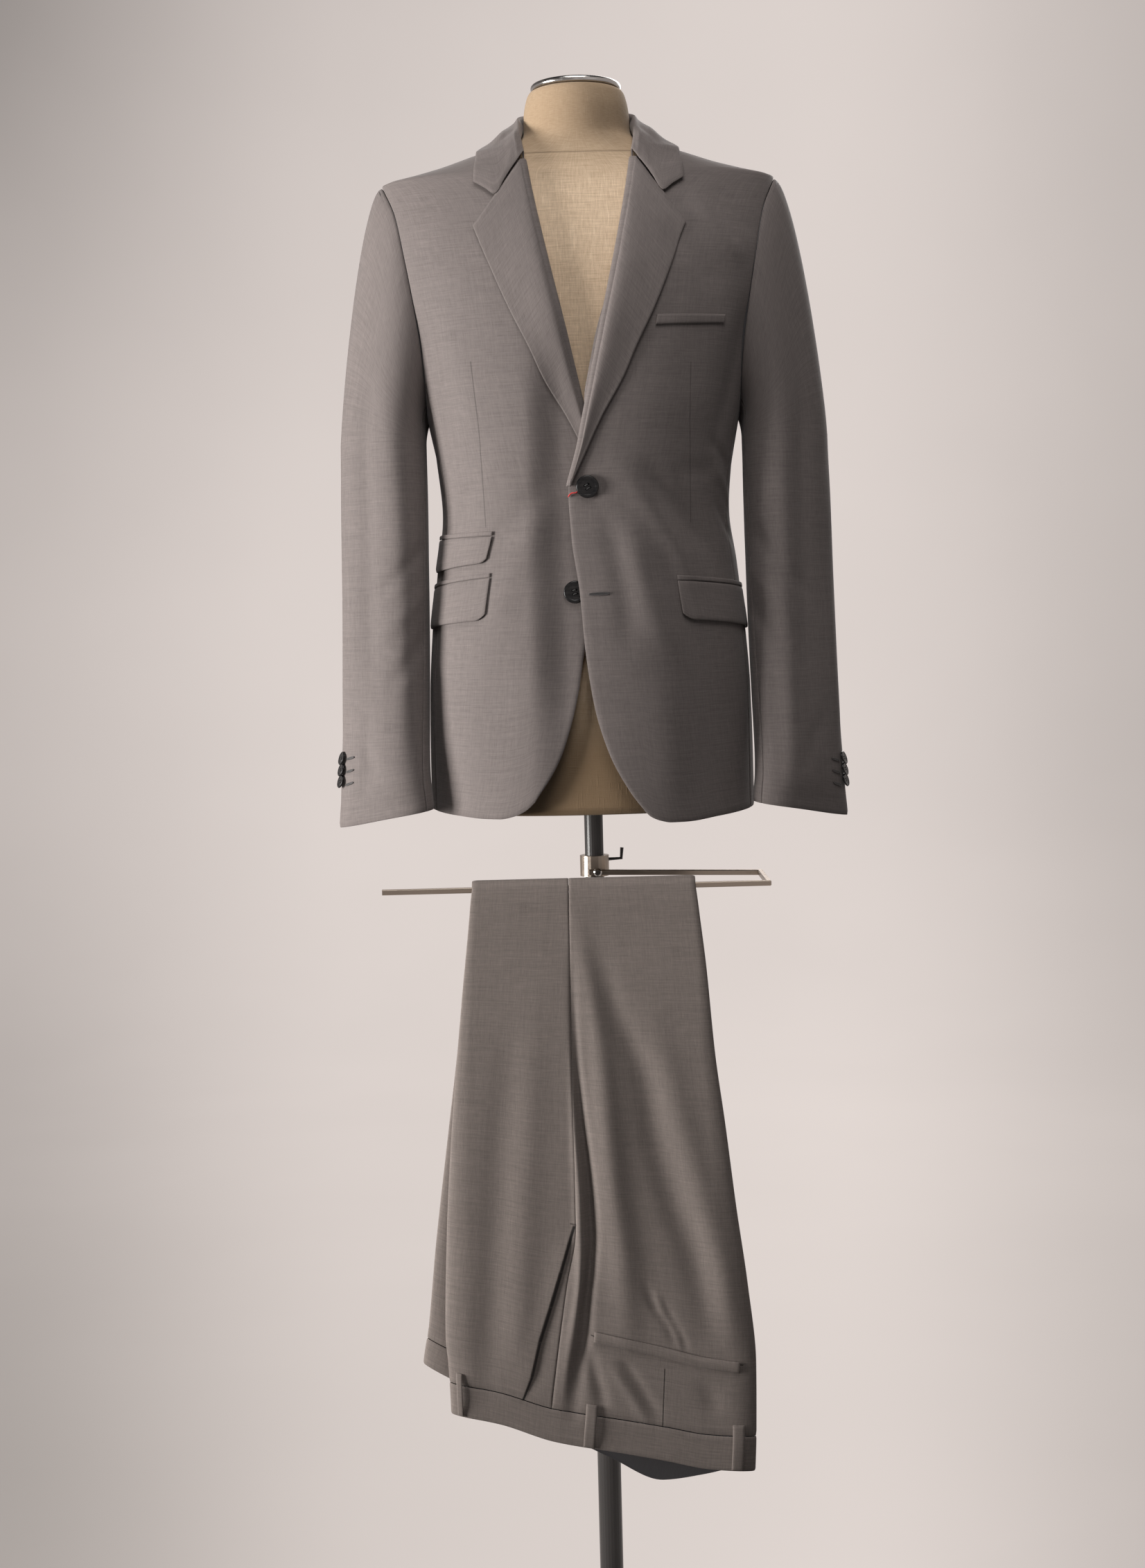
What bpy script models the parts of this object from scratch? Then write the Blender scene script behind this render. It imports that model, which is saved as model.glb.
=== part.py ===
"""A two-piece suit: the jacket buttoned on a limbless dress form, the trousers folded over the form's rail.

Metres, +Z up. The origin is the middle of the stand's underside, on the pole's axis. The suit faces -Y,
so +X is the wearer's left. Cloth is a thin wall on surfaces worked out from the garment's own sizes.
"""

import math

import bpy
import numpy as np
from mathutils import Vector

# Cloth and seams
WALL = 0.0016
TROUSER_WALL = 0.0012
SEAM_GAP = 0.0008
OVERLAY_GAP = 0.0018

# Jacket sizes
SECTION_POWER = 2.3
HEM_LEVEL = 0.955
HEM_FADE_TOP = 1.10
NECKLINE = 1.656
SHOULDER_LEVEL = 1.608
ARMHOLE_CENTRE = 1.484
ARMHOLE_HALF_HEIGHT = 0.124
ARMHOLE_FRONT = 0.062
ARMHOLE_BACK = 0.066
FRONT_SIDE_SEAM = math.radians(72)
SIDE_BACK_SEAM = math.radians(116)
SEAM_TOP = 1.400
OVERLAP_TUCK = 0.0104
BREAK = 1.282
FACING_DEPTH = 0.0048
LAPEL_SWELL = 0.0035
VENT_TOP = 1.165
VENT_UNDERLAP = 0.035

# Height, half width, front depth and back depth of the jacket's outside
TORSO = np.array((
    (0.930, 0.1720, 0.127, 0.106),
    (1.000, 0.1720, 0.127, 0.107),
    (1.080, 0.1705, 0.126, 0.105),
    (1.150, 0.1655, 0.124, 0.099),
    (1.210, 0.1570, 0.121, 0.092),
    (1.265, 0.1515, 0.119, 0.088),
    (1.320, 0.1570, 0.122, 0.094),
    (1.380, 0.1675, 0.126, 0.102),
    (1.440, 0.1810, 0.126, 0.106),
    (1.500, 0.1965, 0.118, 0.105),
    (1.550, 0.2060, 0.102, 0.100),
    (1.585, 0.2080, 0.085, 0.092),
    (1.608, 0.2050, 0.075, 0.085),
    (1.614, 0.1820, 0.072, 0.082),
    (1.6220, 0.1510, 0.068, 0.078),
    (1.6320, 0.1200, 0.064, 0.073),
    (1.6385, 0.1000, 0.061, 0.070),
    (1.656, 0.0660, 0.058, 0.066),
    (1.668, 0.0550, 0.050, 0.058),
    (1.700, 0.0480, 0.045, 0.050),
))

# Height, half width, front depth and back depth of the dress form
FORM = np.array((
    (0.9520, 0.1520, 0.106, 0.090),
    (0.9600, 0.1560, 0.110, 0.094),
    (1.0000, 0.1570, 0.111, 0.095),
    (1.0800, 0.1550, 0.111, 0.095),
    (1.1500, 0.1480, 0.106, 0.088),
    (1.2100, 0.1400, 0.102, 0.081),
    (1.2650, 0.1360, 0.100, 0.078),
    (1.3200, 0.1430, 0.105, 0.084),
    (1.3800, 0.1540, 0.112, 0.093),
    (1.4400, 0.1660, 0.115, 0.098),
    (1.5000, 0.1770, 0.108, 0.097),
    (1.5500, 0.1840, 0.092, 0.092),
    (1.5850, 0.1860, 0.076, 0.084),
    (1.6050, 0.1840, 0.067, 0.077),
    (1.6105, 0.1780, 0.065, 0.075),
    (1.6196, 0.1480, 0.0590, 0.071),
    (1.6296, 0.1160, 0.0555, 0.067),
    (1.6360, 0.0945, 0.0530, 0.0640),
    (1.6460, 0.0720, 0.0515, 0.0600),
    (1.6530, 0.0600, 0.0515, 0.0570),
    (1.6600, 0.0570, 0.0525, 0.0555),
    (1.6800, 0.0555, 0.0545, 0.0545),
    (1.6960, 0.0520, 0.0515, 0.0515),
    (1.7010, 0.0490, 0.0485, 0.0485),
    (1.7025, 0.0460, 0.0455, 0.0455),
))

# Heights of the rows that every body panel shares
BODY_ROWS = np.array((
    0.955, 0.985, 1.030, 1.080, 1.140, 1.200, 1.265, 1.330, 1.365, 1.400,
    1.430, 1.455, 1.480, 1.503, 1.525, 1.545, 1.564, 1.580, 1.594, 1.608, 1.6165, 1.6270, 1.6370, 1.6460, 1.656,
))

# Height and x of each front's edge, from the corner of the hem, up past the break, along the roll
LEFT_EDGE = np.array((
    (0.9555, 0.0520), (0.976, 0.0370), (1.015, 0.0168), (1.064, 0.0027), (1.120, -0.0050),
    (1.182, -0.0096), (1.231, -0.0160), (1.282, -0.0184), (1.326, -0.0055), (1.353, 0.0003),
    (1.436, 0.0185), (1.528, 0.0390), (1.589, 0.0510), (1.6226, 0.0612), (1.638, 0.0655), (1.656, 0.0655),
))
RIGHT_EDGE = np.array((
    (0.9680, -0.0600), (0.9987, -0.0394), (1.023, -0.0283), (1.0785, -0.0129), (1.1165, -0.0064),
    (1.165, 0.0075), (1.200, 0.0140), (1.282, 0.0184), (1.326, 0.0055), (1.353, -0.0003),
    (1.436, -0.0185), (1.528, -0.0390), (1.589, -0.0510), (1.6226, -0.0612), (1.638, -0.0655), (1.656, -0.0655),
))

# Angle round the body in degrees and height of the hem, from the front corner to the middle of the back
LEFT_HEM = np.array((
    (14.6, 0.9555), (16.5, 0.9502), (20.0, 0.9457), (24.0, 0.9435), (29.5, 0.9434),
    (46.0, 0.9470), (76.0, 0.9510), (116.0, 0.9530), (180.0, 0.9530),
))
RIGHT_HEM = np.array((
    (17.3, 0.9680), (20.3, 0.9600), (25.6, 0.9530), (31.2, 0.9504), (37.5, 0.9506),
    (52.7, 0.9530), (80.0, 0.9560), (116.0, 0.9550), (180.0, 0.9530),
))

# Height and x of the wearer's left lapel, whose right one mirrors it
LAPEL_ROLL = np.array((
    (1.282, -0.0184), (1.326, -0.0055), (1.353, 0.0003), (1.436, 0.0185), (1.528, 0.0390),
    (1.589, 0.0510), (1.6226, 0.0565),
))
LAPEL_EDGE = np.array((
    (1.282, -0.0184), (1.309, -0.0045), (1.353, 0.0166), (1.394, 0.0398), (1.4218, 0.0520),
    (1.4636, 0.0720), (1.520, 0.0950), (1.5515, 0.1065),
))
NOTCH_SHARE = 0.554

# The collar's fold and outer edge from the middle of the back to the notch: x, y, z of each
COLLAR_FOLD = np.array((
    (0.0000, 0.0650, 1.6900), (0.0340, 0.0565, 1.6895), (0.0555, 0.0310, 1.6850),
    (0.0612, 0.0060, 1.6770), (0.0613, -0.0180, 1.6650), (0.0600, -0.0420, 1.6480),
    (0.0565, -0.0650, 1.6270),
))
COLLAR_MIDDLE = np.array((
    (0.0000, 0.0765, 1.6690), (0.0395, 0.0690, 1.6690), (0.0670, 0.0425, 1.6680),
    (0.0775, 0.0070, 1.6650), (0.0800, -0.0250, 1.6555), (0.0815, -0.0520, 1.6340),
    (0.0843, -0.0830, 1.5835),
))
COLLAR_EDGE = np.array((
    (0.0000, 0.0810, 1.6430), (0.0460, 0.0755, 1.6420), (0.0800, 0.0480, 1.6445),
    (0.0930, 0.0080, 1.6445), (0.1010, -0.0280, 1.6380), (0.1040, -0.0520, 1.6250),
    (0.1070, -0.0760, 1.5985),
))

# Height, centre x, half width, centre y, half depth and turn in degrees of the sleeve below the arm
SLEEVE = np.array((
    (0.930, 0.2165, 0.0555, -0.0580, 0.0300, 22.0),
    (0.952, 0.2165, 0.0550, -0.0570, 0.0300, 22.0),
    (0.980, 0.2165, 0.0515, -0.0540, 0.0340, 20.0),
    (1.040, 0.2150, 0.0475, -0.0430, 0.0400, 14.0),
    (1.120, 0.2138, 0.0465, -0.0280, 0.0470, 8.0),
    (1.200, 0.2130, 0.0460, -0.0150, 0.0540, 4.0),
    (1.280, 0.2125, 0.0458, -0.0050, 0.0600, 0.0),
    (1.340, 0.2120, 0.0450, 0.0010, 0.0650, 0.0),
))
SLEEVE_ROWS = (1.300, 1.250, 1.195, 1.140, 1.085, 1.035, 0.990, 0.950)
CAP_STEPS = (0.0, 0.12, 0.3, 0.52, 0.76, 1.0)
SLEEVE_FRONT_SEAM = math.radians(150)
SLEEVE_BACK_SEAM_TOP = math.radians(-20)
SLEEVE_BACK_SEAM_CUFF = math.radians(2)
CUFF_SLANT = 0.010

# Rail and trousers
RAIL_Y = -0.115
RAIL_Z = 0.8790
RAIL_LEFT = -0.2185
RAIL_RIGHT = 0.1760
RAIL_SIDE = 0.0056
ARM_Y = -0.0187
HEM_Z = 0.420
CROTCH_Z = 0.550
LEG_NEAR = (0.0101, 0.0073)
LEG_FAR = (0.0040, 0.0068)

# Height and x of the near leg's front crease, side seam and back edge, and of the far leg's front crease
NEAR_LEFT = np.array((
    (0.250, -0.1620), (0.345, -0.1625), (0.396, -0.1640), (0.418, -0.1658), (0.527, -0.1618),
    (0.585, -0.1580), (0.671, -0.1505), (0.768, -0.1400), (0.889, -0.1266), (1.360, -0.1000),
))
FAR_LEFT = np.array((
    (0.250, -0.1915), (0.383, -0.1910), (0.434, -0.1837), (0.522, -0.1739), (0.624, -0.1601),
    (0.732, -0.1448), (0.825, -0.1330), (0.889, -0.1255), (1.360, -0.0985),
))
SIDE_SEAM = np.array((
    (0.250, -0.0680), (0.339, -0.0600), (0.400, -0.0520), (0.473, -0.0410), (0.538, -0.0300),
    (0.697, -0.0295), (0.889, -0.0281), (1.360, -0.0150),
))
RIGHT_SIDE = np.array((
    (0.250, 0.1480), (0.315, 0.1510), (0.388, 0.1520), (0.469, 0.1450), (0.549, 0.1350),
    (0.635, 0.1256), (0.707, 0.1170), (0.793, 0.1104), (0.889, 0.1010), (1.360, 0.0780),
))
# x and height of the near and far waist seams; the waistbands hang below them
NEAR_WAIST = np.array((
    (-0.166, 0.3760), (-0.113, 0.3650), (-0.0565, 0.3460), (0.015, 0.3325), (0.058, 0.3240),
    (0.100, 0.3150), (0.150, 0.3105),
))
FAR_WAIST = np.array((
    (-0.192, 0.4200), (-0.130, 0.3880), (-0.060, 0.3460), (0.000, 0.3150), (0.055, 0.2910),
    (0.100, 0.2960), (0.150, 0.3080),
))
BAND_DEPTH = 0.036
# Folds of the near leg: top and foot heights, x at both, sideways bend, half width and depth (out is +)
FOLDS = (
    (0.790, 0.400, -0.0130, -0.0200, -0.0030, 0.0085, -0.0050),
    (0.880, 0.380, 0.0050, 0.0620, 0.0060, 0.0200, 0.0045),
    (0.800, 0.360, 0.0380, 0.0900, 0.0080, 0.0150, -0.0030),
    (0.760, 0.400, 0.0800, 0.1220, 0.0040, 0.0140, 0.0025),
    (0.640, 0.350, -0.0700, -0.0980, -0.0040, 0.0150, 0.0022),
    (0.560, 0.340, -0.1200, -0.1300, 0.0020, 0.0120, -0.0016),
)
# Height and extra depth of the near half in front of the pressed legs, and of the far half behind
NEAR_SWELL = np.array((
    (0.250, 0.0190), (0.330, 0.0210), (0.420, 0.0220), (0.550, 0.0170), (0.700, 0.0090),
    (0.850, 0.0010), (0.889, 0.0),
))
FAR_SWELL = np.array((
    (0.250, 0.0170), (0.330, 0.0150), (0.395, 0.0070), (0.440, 0.0010), (0.480, 0.0), (0.889, 0.0),
))

# Stand
BASE_RADIUS = 0.190
BASE_THICK = 0.010
LOWER_TUBE_RADIUS = 0.0127
UPPER_TUBE_RADIUS = 0.0100
TUBE_CLEARANCE = 0.0003
LOWER_TUBE_TOP = 0.620
UPPER_TUBE_FOOT = 0.170
FORM_FOOT = 0.952

COLOURS = {
    "suiting": ((0.21, 0.195, 0.19), 0.85, 0.0),
    "lining": ((0.02, 0.02, 0.025), 0.5, 0.0),
    "horn": ((0.015, 0.015, 0.017), 0.3, 0.0),
    "linen": ((0.48, 0.37, 0.25), 0.9, 0.0),
    "chrome": ((0.55, 0.55, 0.56), 0.15, 1.0),
    "nickel": ((0.40, 0.37, 0.33), 0.3, 1.0),
    "black_steel": ((0.02, 0.02, 0.022), 0.35, 0.6),
}


def clear_scene():
    for obj in list(bpy.data.objects):
        bpy.data.objects.remove(obj)


def material(name):
    """The named finish, made once."""
    found = bpy.data.materials.get(name)
    if found:
        return found
    colour, roughness, metallic = COLOURS[name]
    made = bpy.data.materials.new(name)
    made.use_nodes = True
    shader = made.node_tree.nodes["Principled BSDF"]
    shader.inputs["Base Color"].default_value = (*colour, 1.0)
    shader.inputs["Roughness"].default_value = roughness
    shader.inputs["Metallic"].default_value = metallic
    return made


def collection(name):
    made = bpy.data.collections.new(name)
    bpy.context.scene.collection.children.link(made)
    return made


def smooth(at, table, column=1):
    """A cubic through one column of a table over its first, without overshoot between rows."""
    knots, values = table[:, 0], table[:, column]
    step = np.diff(values) / np.diff(knots)
    slope = np.empty_like(values)
    slope[0], slope[-1] = step[0], step[-1]
    both = step[1:] * step[:-1]
    total = step[1:] + step[:-1]
    slope[1:-1] = np.where(both > 0, 2 * both / np.where(both > 0, total, 1), 0)
    at = np.clip(at, knots[0], knots[-1])
    i = np.clip(np.searchsorted(knots, at, side="right") - 1, 0, len(knots) - 2)
    width = knots[i + 1] - knots[i]
    t = (at - knots[i]) / width
    rise = values[i] * (1 + 2 * t) * (1 - t) ** 2 + values[i + 1] * t * t * (3 - 2 * t)
    return rise + width * (slope[i] * t * (1 - t) ** 2 + slope[i + 1] * t * t * (t - 1))


def ramp(value, low, high):
    """0 below low, 1 above high, and a soft step between."""
    t = np.clip((np.asarray(value, float) - low) / (high - low), 0, 1)
    return t * t * (3 - 2 * t)


def link(obj, where, finish):
    obj.data.materials.append(material(finish))
    where.objects.link(obj)
    return obj


def grid_mesh(name, grid, reverse=False):
    """A mesh of two triangles for each cell of a grid of points, split along the cell's shorter diagonal."""
    rows, columns = grid.shape[:2]
    index = np.arange(rows * columns).reshape(rows, columns)
    a, b = index[:-1, :-1].ravel(), index[:-1, 1:].ravel()
    c, d = index[1:, 1:].ravel(), index[1:, :-1].ravel()
    flat = grid.reshape(-1, 3)
    first = (np.linalg.norm(flat[a] - flat[c], axis=1) <= np.linalg.norm(flat[b] - flat[d], axis=1))[:, None]
    faces = np.vstack((np.where(first, np.column_stack((a, b, c)), np.column_stack((a, b, d))),
                       np.where(first, np.column_stack((a, c, d)), np.column_stack((b, c, d)))))
    mesh = bpy.data.meshes.new(name)
    mesh.from_pydata(flat.tolist(), [], (faces[:, ::-1] if reverse else faces).tolist())
    return mesh


def cloth(name, grid, where, wall=WALL, side=-1, finish="suiting", turned=False):
    """A panel: the open surface of grid, given its wall by Solidify, inwards of the surface when side is -1."""
    obj = bpy.data.objects.new(name, grid_mesh(name, grid, turned))
    obj.data.shade_smooth()
    shell = obj.modifiers.new("wall", "SOLIDIFY")
    shell.thickness = wall
    shell.offset = side
    return link(obj, where, finish)


def turned(name, profile, steps, where, finish):
    """A round piece: the profile (radius, height), from top to bottom, screwed round Z."""
    ring = profile[0] == profile[-1]
    points = [(r, 0, z) for r, z in (profile[:-1] if ring else profile)]
    edges = [(i, i + 1) for i in range(len(points) - 1)] + ([(len(points) - 1, 0)] if ring else [])
    mesh = bpy.data.meshes.new(name)
    mesh.from_pydata(points, edges, [])
    obj = bpy.data.objects.new(name, mesh)
    screw = obj.modifiers.new("turn", "SCREW")
    screw.steps = screw.render_steps = steps
    screw.use_merge_vertices = True
    screw.merge_threshold = 0.00001
    screw.use_smooth_shade = True
    return link(obj, where, finish)


def ring_profile(outer, inner, foot, top):
    """A tube's closed profile, from the top of its outside down, round and back."""
    return ((outer, top), (outer, foot), (inner, foot), (inner, top), (outer, top))


# The jacket's surface

def torso_point(angle, height, lift=0.0):
    """The jacket's outside: a rounded oblong at each height. Angle 0 is the front, a quarter turn the left side."""
    angle, height = np.broadcast_arrays(np.asarray(angle, float), np.asarray(height, float))
    across, ahead = np.sin(angle), np.cos(angle)
    power = 2 / SECTION_POWER
    depth = np.where(ahead > 0, smooth(height, TORSO, 2), smooth(height, TORSO, 3)) + lift
    width = smooth(height, TORSO, 1) + lift
    x = np.sign(across) * np.abs(across) ** power * width
    y = -np.sign(ahead) * np.abs(ahead) ** power * depth
    return np.stack((x, y, height), axis=-1)


def angle_at_x(x, height):
    """The angle of the point of the front that has this x."""
    share = np.clip(np.abs(x) / smooth(height, TORSO, 1), 0, 1)
    return np.sign(x) * np.arcsin(share ** (SECTION_POWER / 2))


def angle_at_y(y, height):
    """The angle, without its sign, of the point of the side that has this y."""
    depth = smooth(height, TORSO, 2) if y < 0 else smooth(height, TORSO, 3)
    off_axis = math.acos(min(1.0, (abs(y) / depth) ** (SECTION_POWER / 2)))
    return off_axis if y < 0 else math.pi - off_axis


def outside(points):
    """How far points lie outside the torso, and the way out of it there."""
    def level(p):
        width = smooth(p[..., 2], TORSO, 1)
        depth = np.where(p[..., 1] < 0, smooth(p[..., 2], TORSO, 2), smooth(p[..., 2], TORSO, 3))
        shape = (np.abs(p[..., 0]) / width) ** SECTION_POWER + (np.abs(p[..., 1]) / depth) ** SECTION_POWER
        return shape ** (1 / SECTION_POWER) - 1

    step = 0.0005
    here = level(points)
    way = np.stack([(level(points + step * axis) - level(points - step * axis)) / (2 * step)
                    for axis in np.eye(3)], axis=-1)
    length = np.maximum(np.linalg.norm(way, axis=-1), 1e-6)
    return here / length, way / length[..., None]


def seated(points, least):
    """The points, moved out where they are nearer the torso than least."""
    for _ in range(4):
        gap, way = outside(points)
        points = points + way * np.maximum(least - gap, 0)[..., None]
    return points


def at_lift(points, lift):
    """The points, moved along the way out until they lie lift outside the torso."""
    for _ in range(4):
        gap, way = outside(points)
        points = points + way * (lift - gap)[..., None]
    return points


def armhole_y(height, depth):
    share = (height - ARMHOLE_CENTRE) / ARMHOLE_HALF_HEIGHT
    return depth * math.sqrt(max(0.0, 1 - share * share))


def panel_end(height, back):
    """The angle where a front or back panel ends: its side seam, the armhole, then the shoulder seam."""
    if height <= SEAM_TOP:
        turn = SEAM_GAP / 2 / 0.15
        return SIDE_BACK_SEAM + turn if back else FRONT_SIDE_SEAM - turn
    y = max(armhole_y(height, ARMHOLE_BACK if back else ARMHOLE_FRONT), SEAM_GAP * 0.7)
    return angle_at_y(y if back else -y, height)


def hem_fade(height):
    return np.clip((HEM_FADE_TOP - height) / (HEM_FADE_TOP - HEM_LEVEL), 0, 1)


def hang(angle, row, hem):
    """The height of a point of a row, which follows the hem near the bottom."""
    drop = smooth(np.degrees(np.abs(angle)), hem) - HEM_LEVEL
    return row + drop * hem_fade(row)


def under_tuck(x, z):
    """How far the wearer's right front lies behind the surface where the left one covers it."""
    covered = ramp(x, -0.062, -0.022)
    up = 1 - ramp(z, 1.36, 1.46)
    low = 0.45 + 0.55 * ramp(z, 1.02, 1.12)
    return OVERLAP_TUCK * covered * up * low


def front_panel(side, edge, hem, columns=8):
    """A front from its edge (column 0) to the side seam, armhole and shoulder."""
    grid = np.empty((len(BODY_ROWS), columns, 3))
    for i, row in enumerate(BODY_ROWS):
        start_height = max(edge[0, 0], row + (edge[0, 0] - HEM_LEVEL) * hem_fade(row))
        start = side * angle_at_x(smooth(start_height, edge), start_height)
        angles = start + (panel_end(row, False) - start) * np.linspace(0, 1, columns) ** 1.05
        heights = hang(np.maximum(angles, math.radians(hem[0, 0])), row, hem)
        heights[0] = start_height
        grid[i] = torso_point(side * angles, heights)
    if side < 0:
        grid[..., 1] += under_tuck(grid[..., 0], grid[..., 2])
    return grid


def side_panel(side, hem, columns=4):
    """The panel under the arm, whose top follows the foot of the armhole."""
    turn = SEAM_GAP / 2 / 0.15
    angles = np.linspace(FRONT_SIDE_SEAM + turn, SIDE_BACK_SEAM - turn, columns)
    tops = []
    for angle in angles:
        y = torso_point(angle, 1.375)[1]
        depth = ARMHOLE_FRONT if y < 0 else ARMHOLE_BACK
        tops.append(ARMHOLE_CENTRE - ARMHOLE_HALF_HEIGHT * math.sqrt(1 - min(1.0, (y / depth) ** 2)))
    rows = BODY_ROWS[BODY_ROWS <= SEAM_TOP]
    share = ramp(rows, 1.235, SEAM_TOP)
    grid = np.empty((len(rows), columns, 3))
    for j, (angle, top) in enumerate(zip(angles, tops)):
        heights = hang(angle, rows, hem) + share * (top - SEAM_TOP)
        grid[:, j] = torso_point(side * angle, heights)
    return grid


def back_panel(side, hem, columns=7):
    """A back from the middle seam (column 0) to the side seam, armhole and shoulder."""
    grid = np.empty((len(BODY_ROWS), columns, 3))
    middle = math.pi - SEAM_GAP / 2 / 0.09
    for i, row in enumerate(BODY_ROWS):
        angles = middle + (panel_end(row, True) - middle) * np.linspace(0, 1, columns)
        grid[i] = torso_point(side * angles, hang(angles, row, hem))
    return grid


def vent_underlap(hem):
    """The strip that carries the left back on under the right one, below the top of the vent."""
    rows = np.append(BODY_ROWS[BODY_ROWS < VENT_TOP - 0.01], VENT_TOP)
    reach = np.array((0.020, 0.006, -0.010, -VENT_UNDERLAP))
    grid = np.empty((len(rows), len(reach), 3))
    for i, row in enumerate(rows):
        angles = math.pi - reach / 0.135
        grid[i] = torso_point(angles, hang(math.pi, row, hem))
    grid[..., 1] -= WALL + 0.0009
    return grid


def lapel(side, rows=14):
    """A lapel: facing inside the front's edge, the roll round that edge, then out over the front to its own
    edge. Its top row is the gorge and the notch."""
    share = np.array((0.0, 0.0, 0.0, 0.0, 0.16, 0.36, 0.58, 0.80, 1.0))
    shift = np.array((0.0120, 0.0010, -0.0039, 0.0003, 0, 0, 0, 0, 0))
    base = np.array((-FACING_DEPTH, -FACING_DEPTH, -0.0005, WALL + OVERLAY_GAP, 0, 0, 0, 0, 0))
    grid = np.empty((rows, len(share), 3))
    for i, v in enumerate(np.linspace(0.075, 0.992, rows)):
        roll_height = BREAK + v * (LAPEL_ROLL[-1, 0] - BREAK)
        edge_height = BREAK + v * (LAPEL_EDGE[-1, 0] - BREAK)
        roll = smooth(roll_height, LAPEL_ROLL)
        edge = max(smooth(edge_height, LAPEL_EDGE), roll + 0.0065)
        x = side * (roll + shift + share * (edge - roll))
        gorge = np.where(share < NOTCH_SHARE, np.sin(math.pi * share / NOTCH_SHARE), 0)
        z = roll_height + share * (edge_height - roll_height) - 0.0048 * v ** 6 * gorge
        swell = LAPEL_SWELL * math.sin(math.pi * min(v, 0.9)) * np.sqrt(share) * (1 - share) ** 2 / 0.286
        lift = np.where(share > 0, WALL + OVERLAY_GAP + swell, base)
        grid[i] = torso_point(angle_at_x(x, z), z, lift)
        if side < 0:
            grid[i, :, 1] += under_tuck(x, z)
    return grid


def flap(side, front_x, last, top, foot, lift, round_off=0.0, rows=3):
    """A pocket flap or welt lying on the front: its front end's x at top and foot, the angle of its far end,
    and the heights of its top and foot at both ends. round_off lifts the two corners of its foot."""
    share = np.array((0.0, 0.035, 0.11, 0.24, 0.42, 0.60, 0.78, 0.90, 0.967, 1.0))
    corner = np.maximum(1 - np.minimum(share, 1 - share) / 0.11, 0)
    first_foot = angle_at_x(front_x[1], foot[0])
    first_top = angle_at_x(front_x[0], top[0])
    grid = np.empty((rows, len(share), 3))
    for i, v in enumerate(np.linspace(0, 1, rows)):
        first = first_foot + v * (first_top - first_foot)
        low = foot[0] + share * (foot[1] - foot[0]) + round_off * corner ** 2
        high = top[0] + share * (top[1] - top[0])
        grid[i] = torso_point(side * (first + share * (last - first)), low + v * (high - low), lift)
    return grid


# The collar

def collar_grid(stations=12):
    """Stand, fold and fall carried round the neck, from the right notch to the left one."""
    at = np.arange(len(COLLAR_FOLD), dtype=float)
    place = np.linspace(0, at[-1], stations)

    def along(table):
        return np.stack([smooth(place, np.column_stack((at, table[:, k]))) for k in range(3)], axis=-1)

    fold, middle, edge = along(COLLAR_FOLD), along(COLLAR_MIDDLE), along(COLLAR_EDGE)
    half = []
    for top, mid, low in zip(fold, middle, edge):
        fall = [np.array([np.interp(s, (0, 0.55, 1), (top[k], mid[k], low[k])) for k in range(3)])
                for s in (0.14, 0.35, 0.55, 0.78, 1.0)]
        fall = seated(np.array(fall), WALL + OVERLAY_GAP + 0.0013)
        out = fall[0] - top
        out[2] = 0
        out = out / max(np.linalg.norm(out), 1e-6)
        depth = 0.0025 + 0.0285 * (1 - float(ramp(np.hypot(top[0], top[1] - 0.065), 0.03, 0.13)))
        ahead = float(ramp(-top[1], -0.01, 0.03))
        crown = top + np.array((0, 0, 0.0012 + 0.0022 * ahead)) + out * (0.0005 - 0.0022 * ahead)
        stand = np.array((top + out * 0.0005 - np.array((0, 0, depth)), top - out * 0.0022 - np.array((0, 0, 0.0030))))
        inside = at_lift(stand, -FACING_DEPTH)
        stand_foot, stand_top = stand + ahead * (inside - stand)
        half.append(np.vstack((stand_foot, stand_top, crown, fall)))
    half = np.array(half)
    mirrored = half[:0:-1] * np.array((-1, 1, 1))
    return np.concatenate((mirrored, half))


# The sleeves

def sleeve_ring(phi, height):
    """The sleeve below the arm: an oval round its middle line, turned so that its inner edge comes forward."""
    centre_x, half_x = smooth(height, SLEEVE, 1), smooth(height, SLEEVE, 2)
    centre_y, half_y = smooth(height, SLEEVE, 3), smooth(height, SLEEVE, 4)
    turn = np.radians(smooth(height, SLEEVE, 5))
    across, ahead = half_x * np.cos(phi), -half_y * np.sin(phi)
    x = centre_x + across * np.cos(turn) - ahead * np.sin(turn) * 0.3
    y = centre_y + across * np.sin(turn) + ahead * np.cos(turn)
    return np.stack((x, y, height + 0 * phi), axis=-1)


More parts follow.
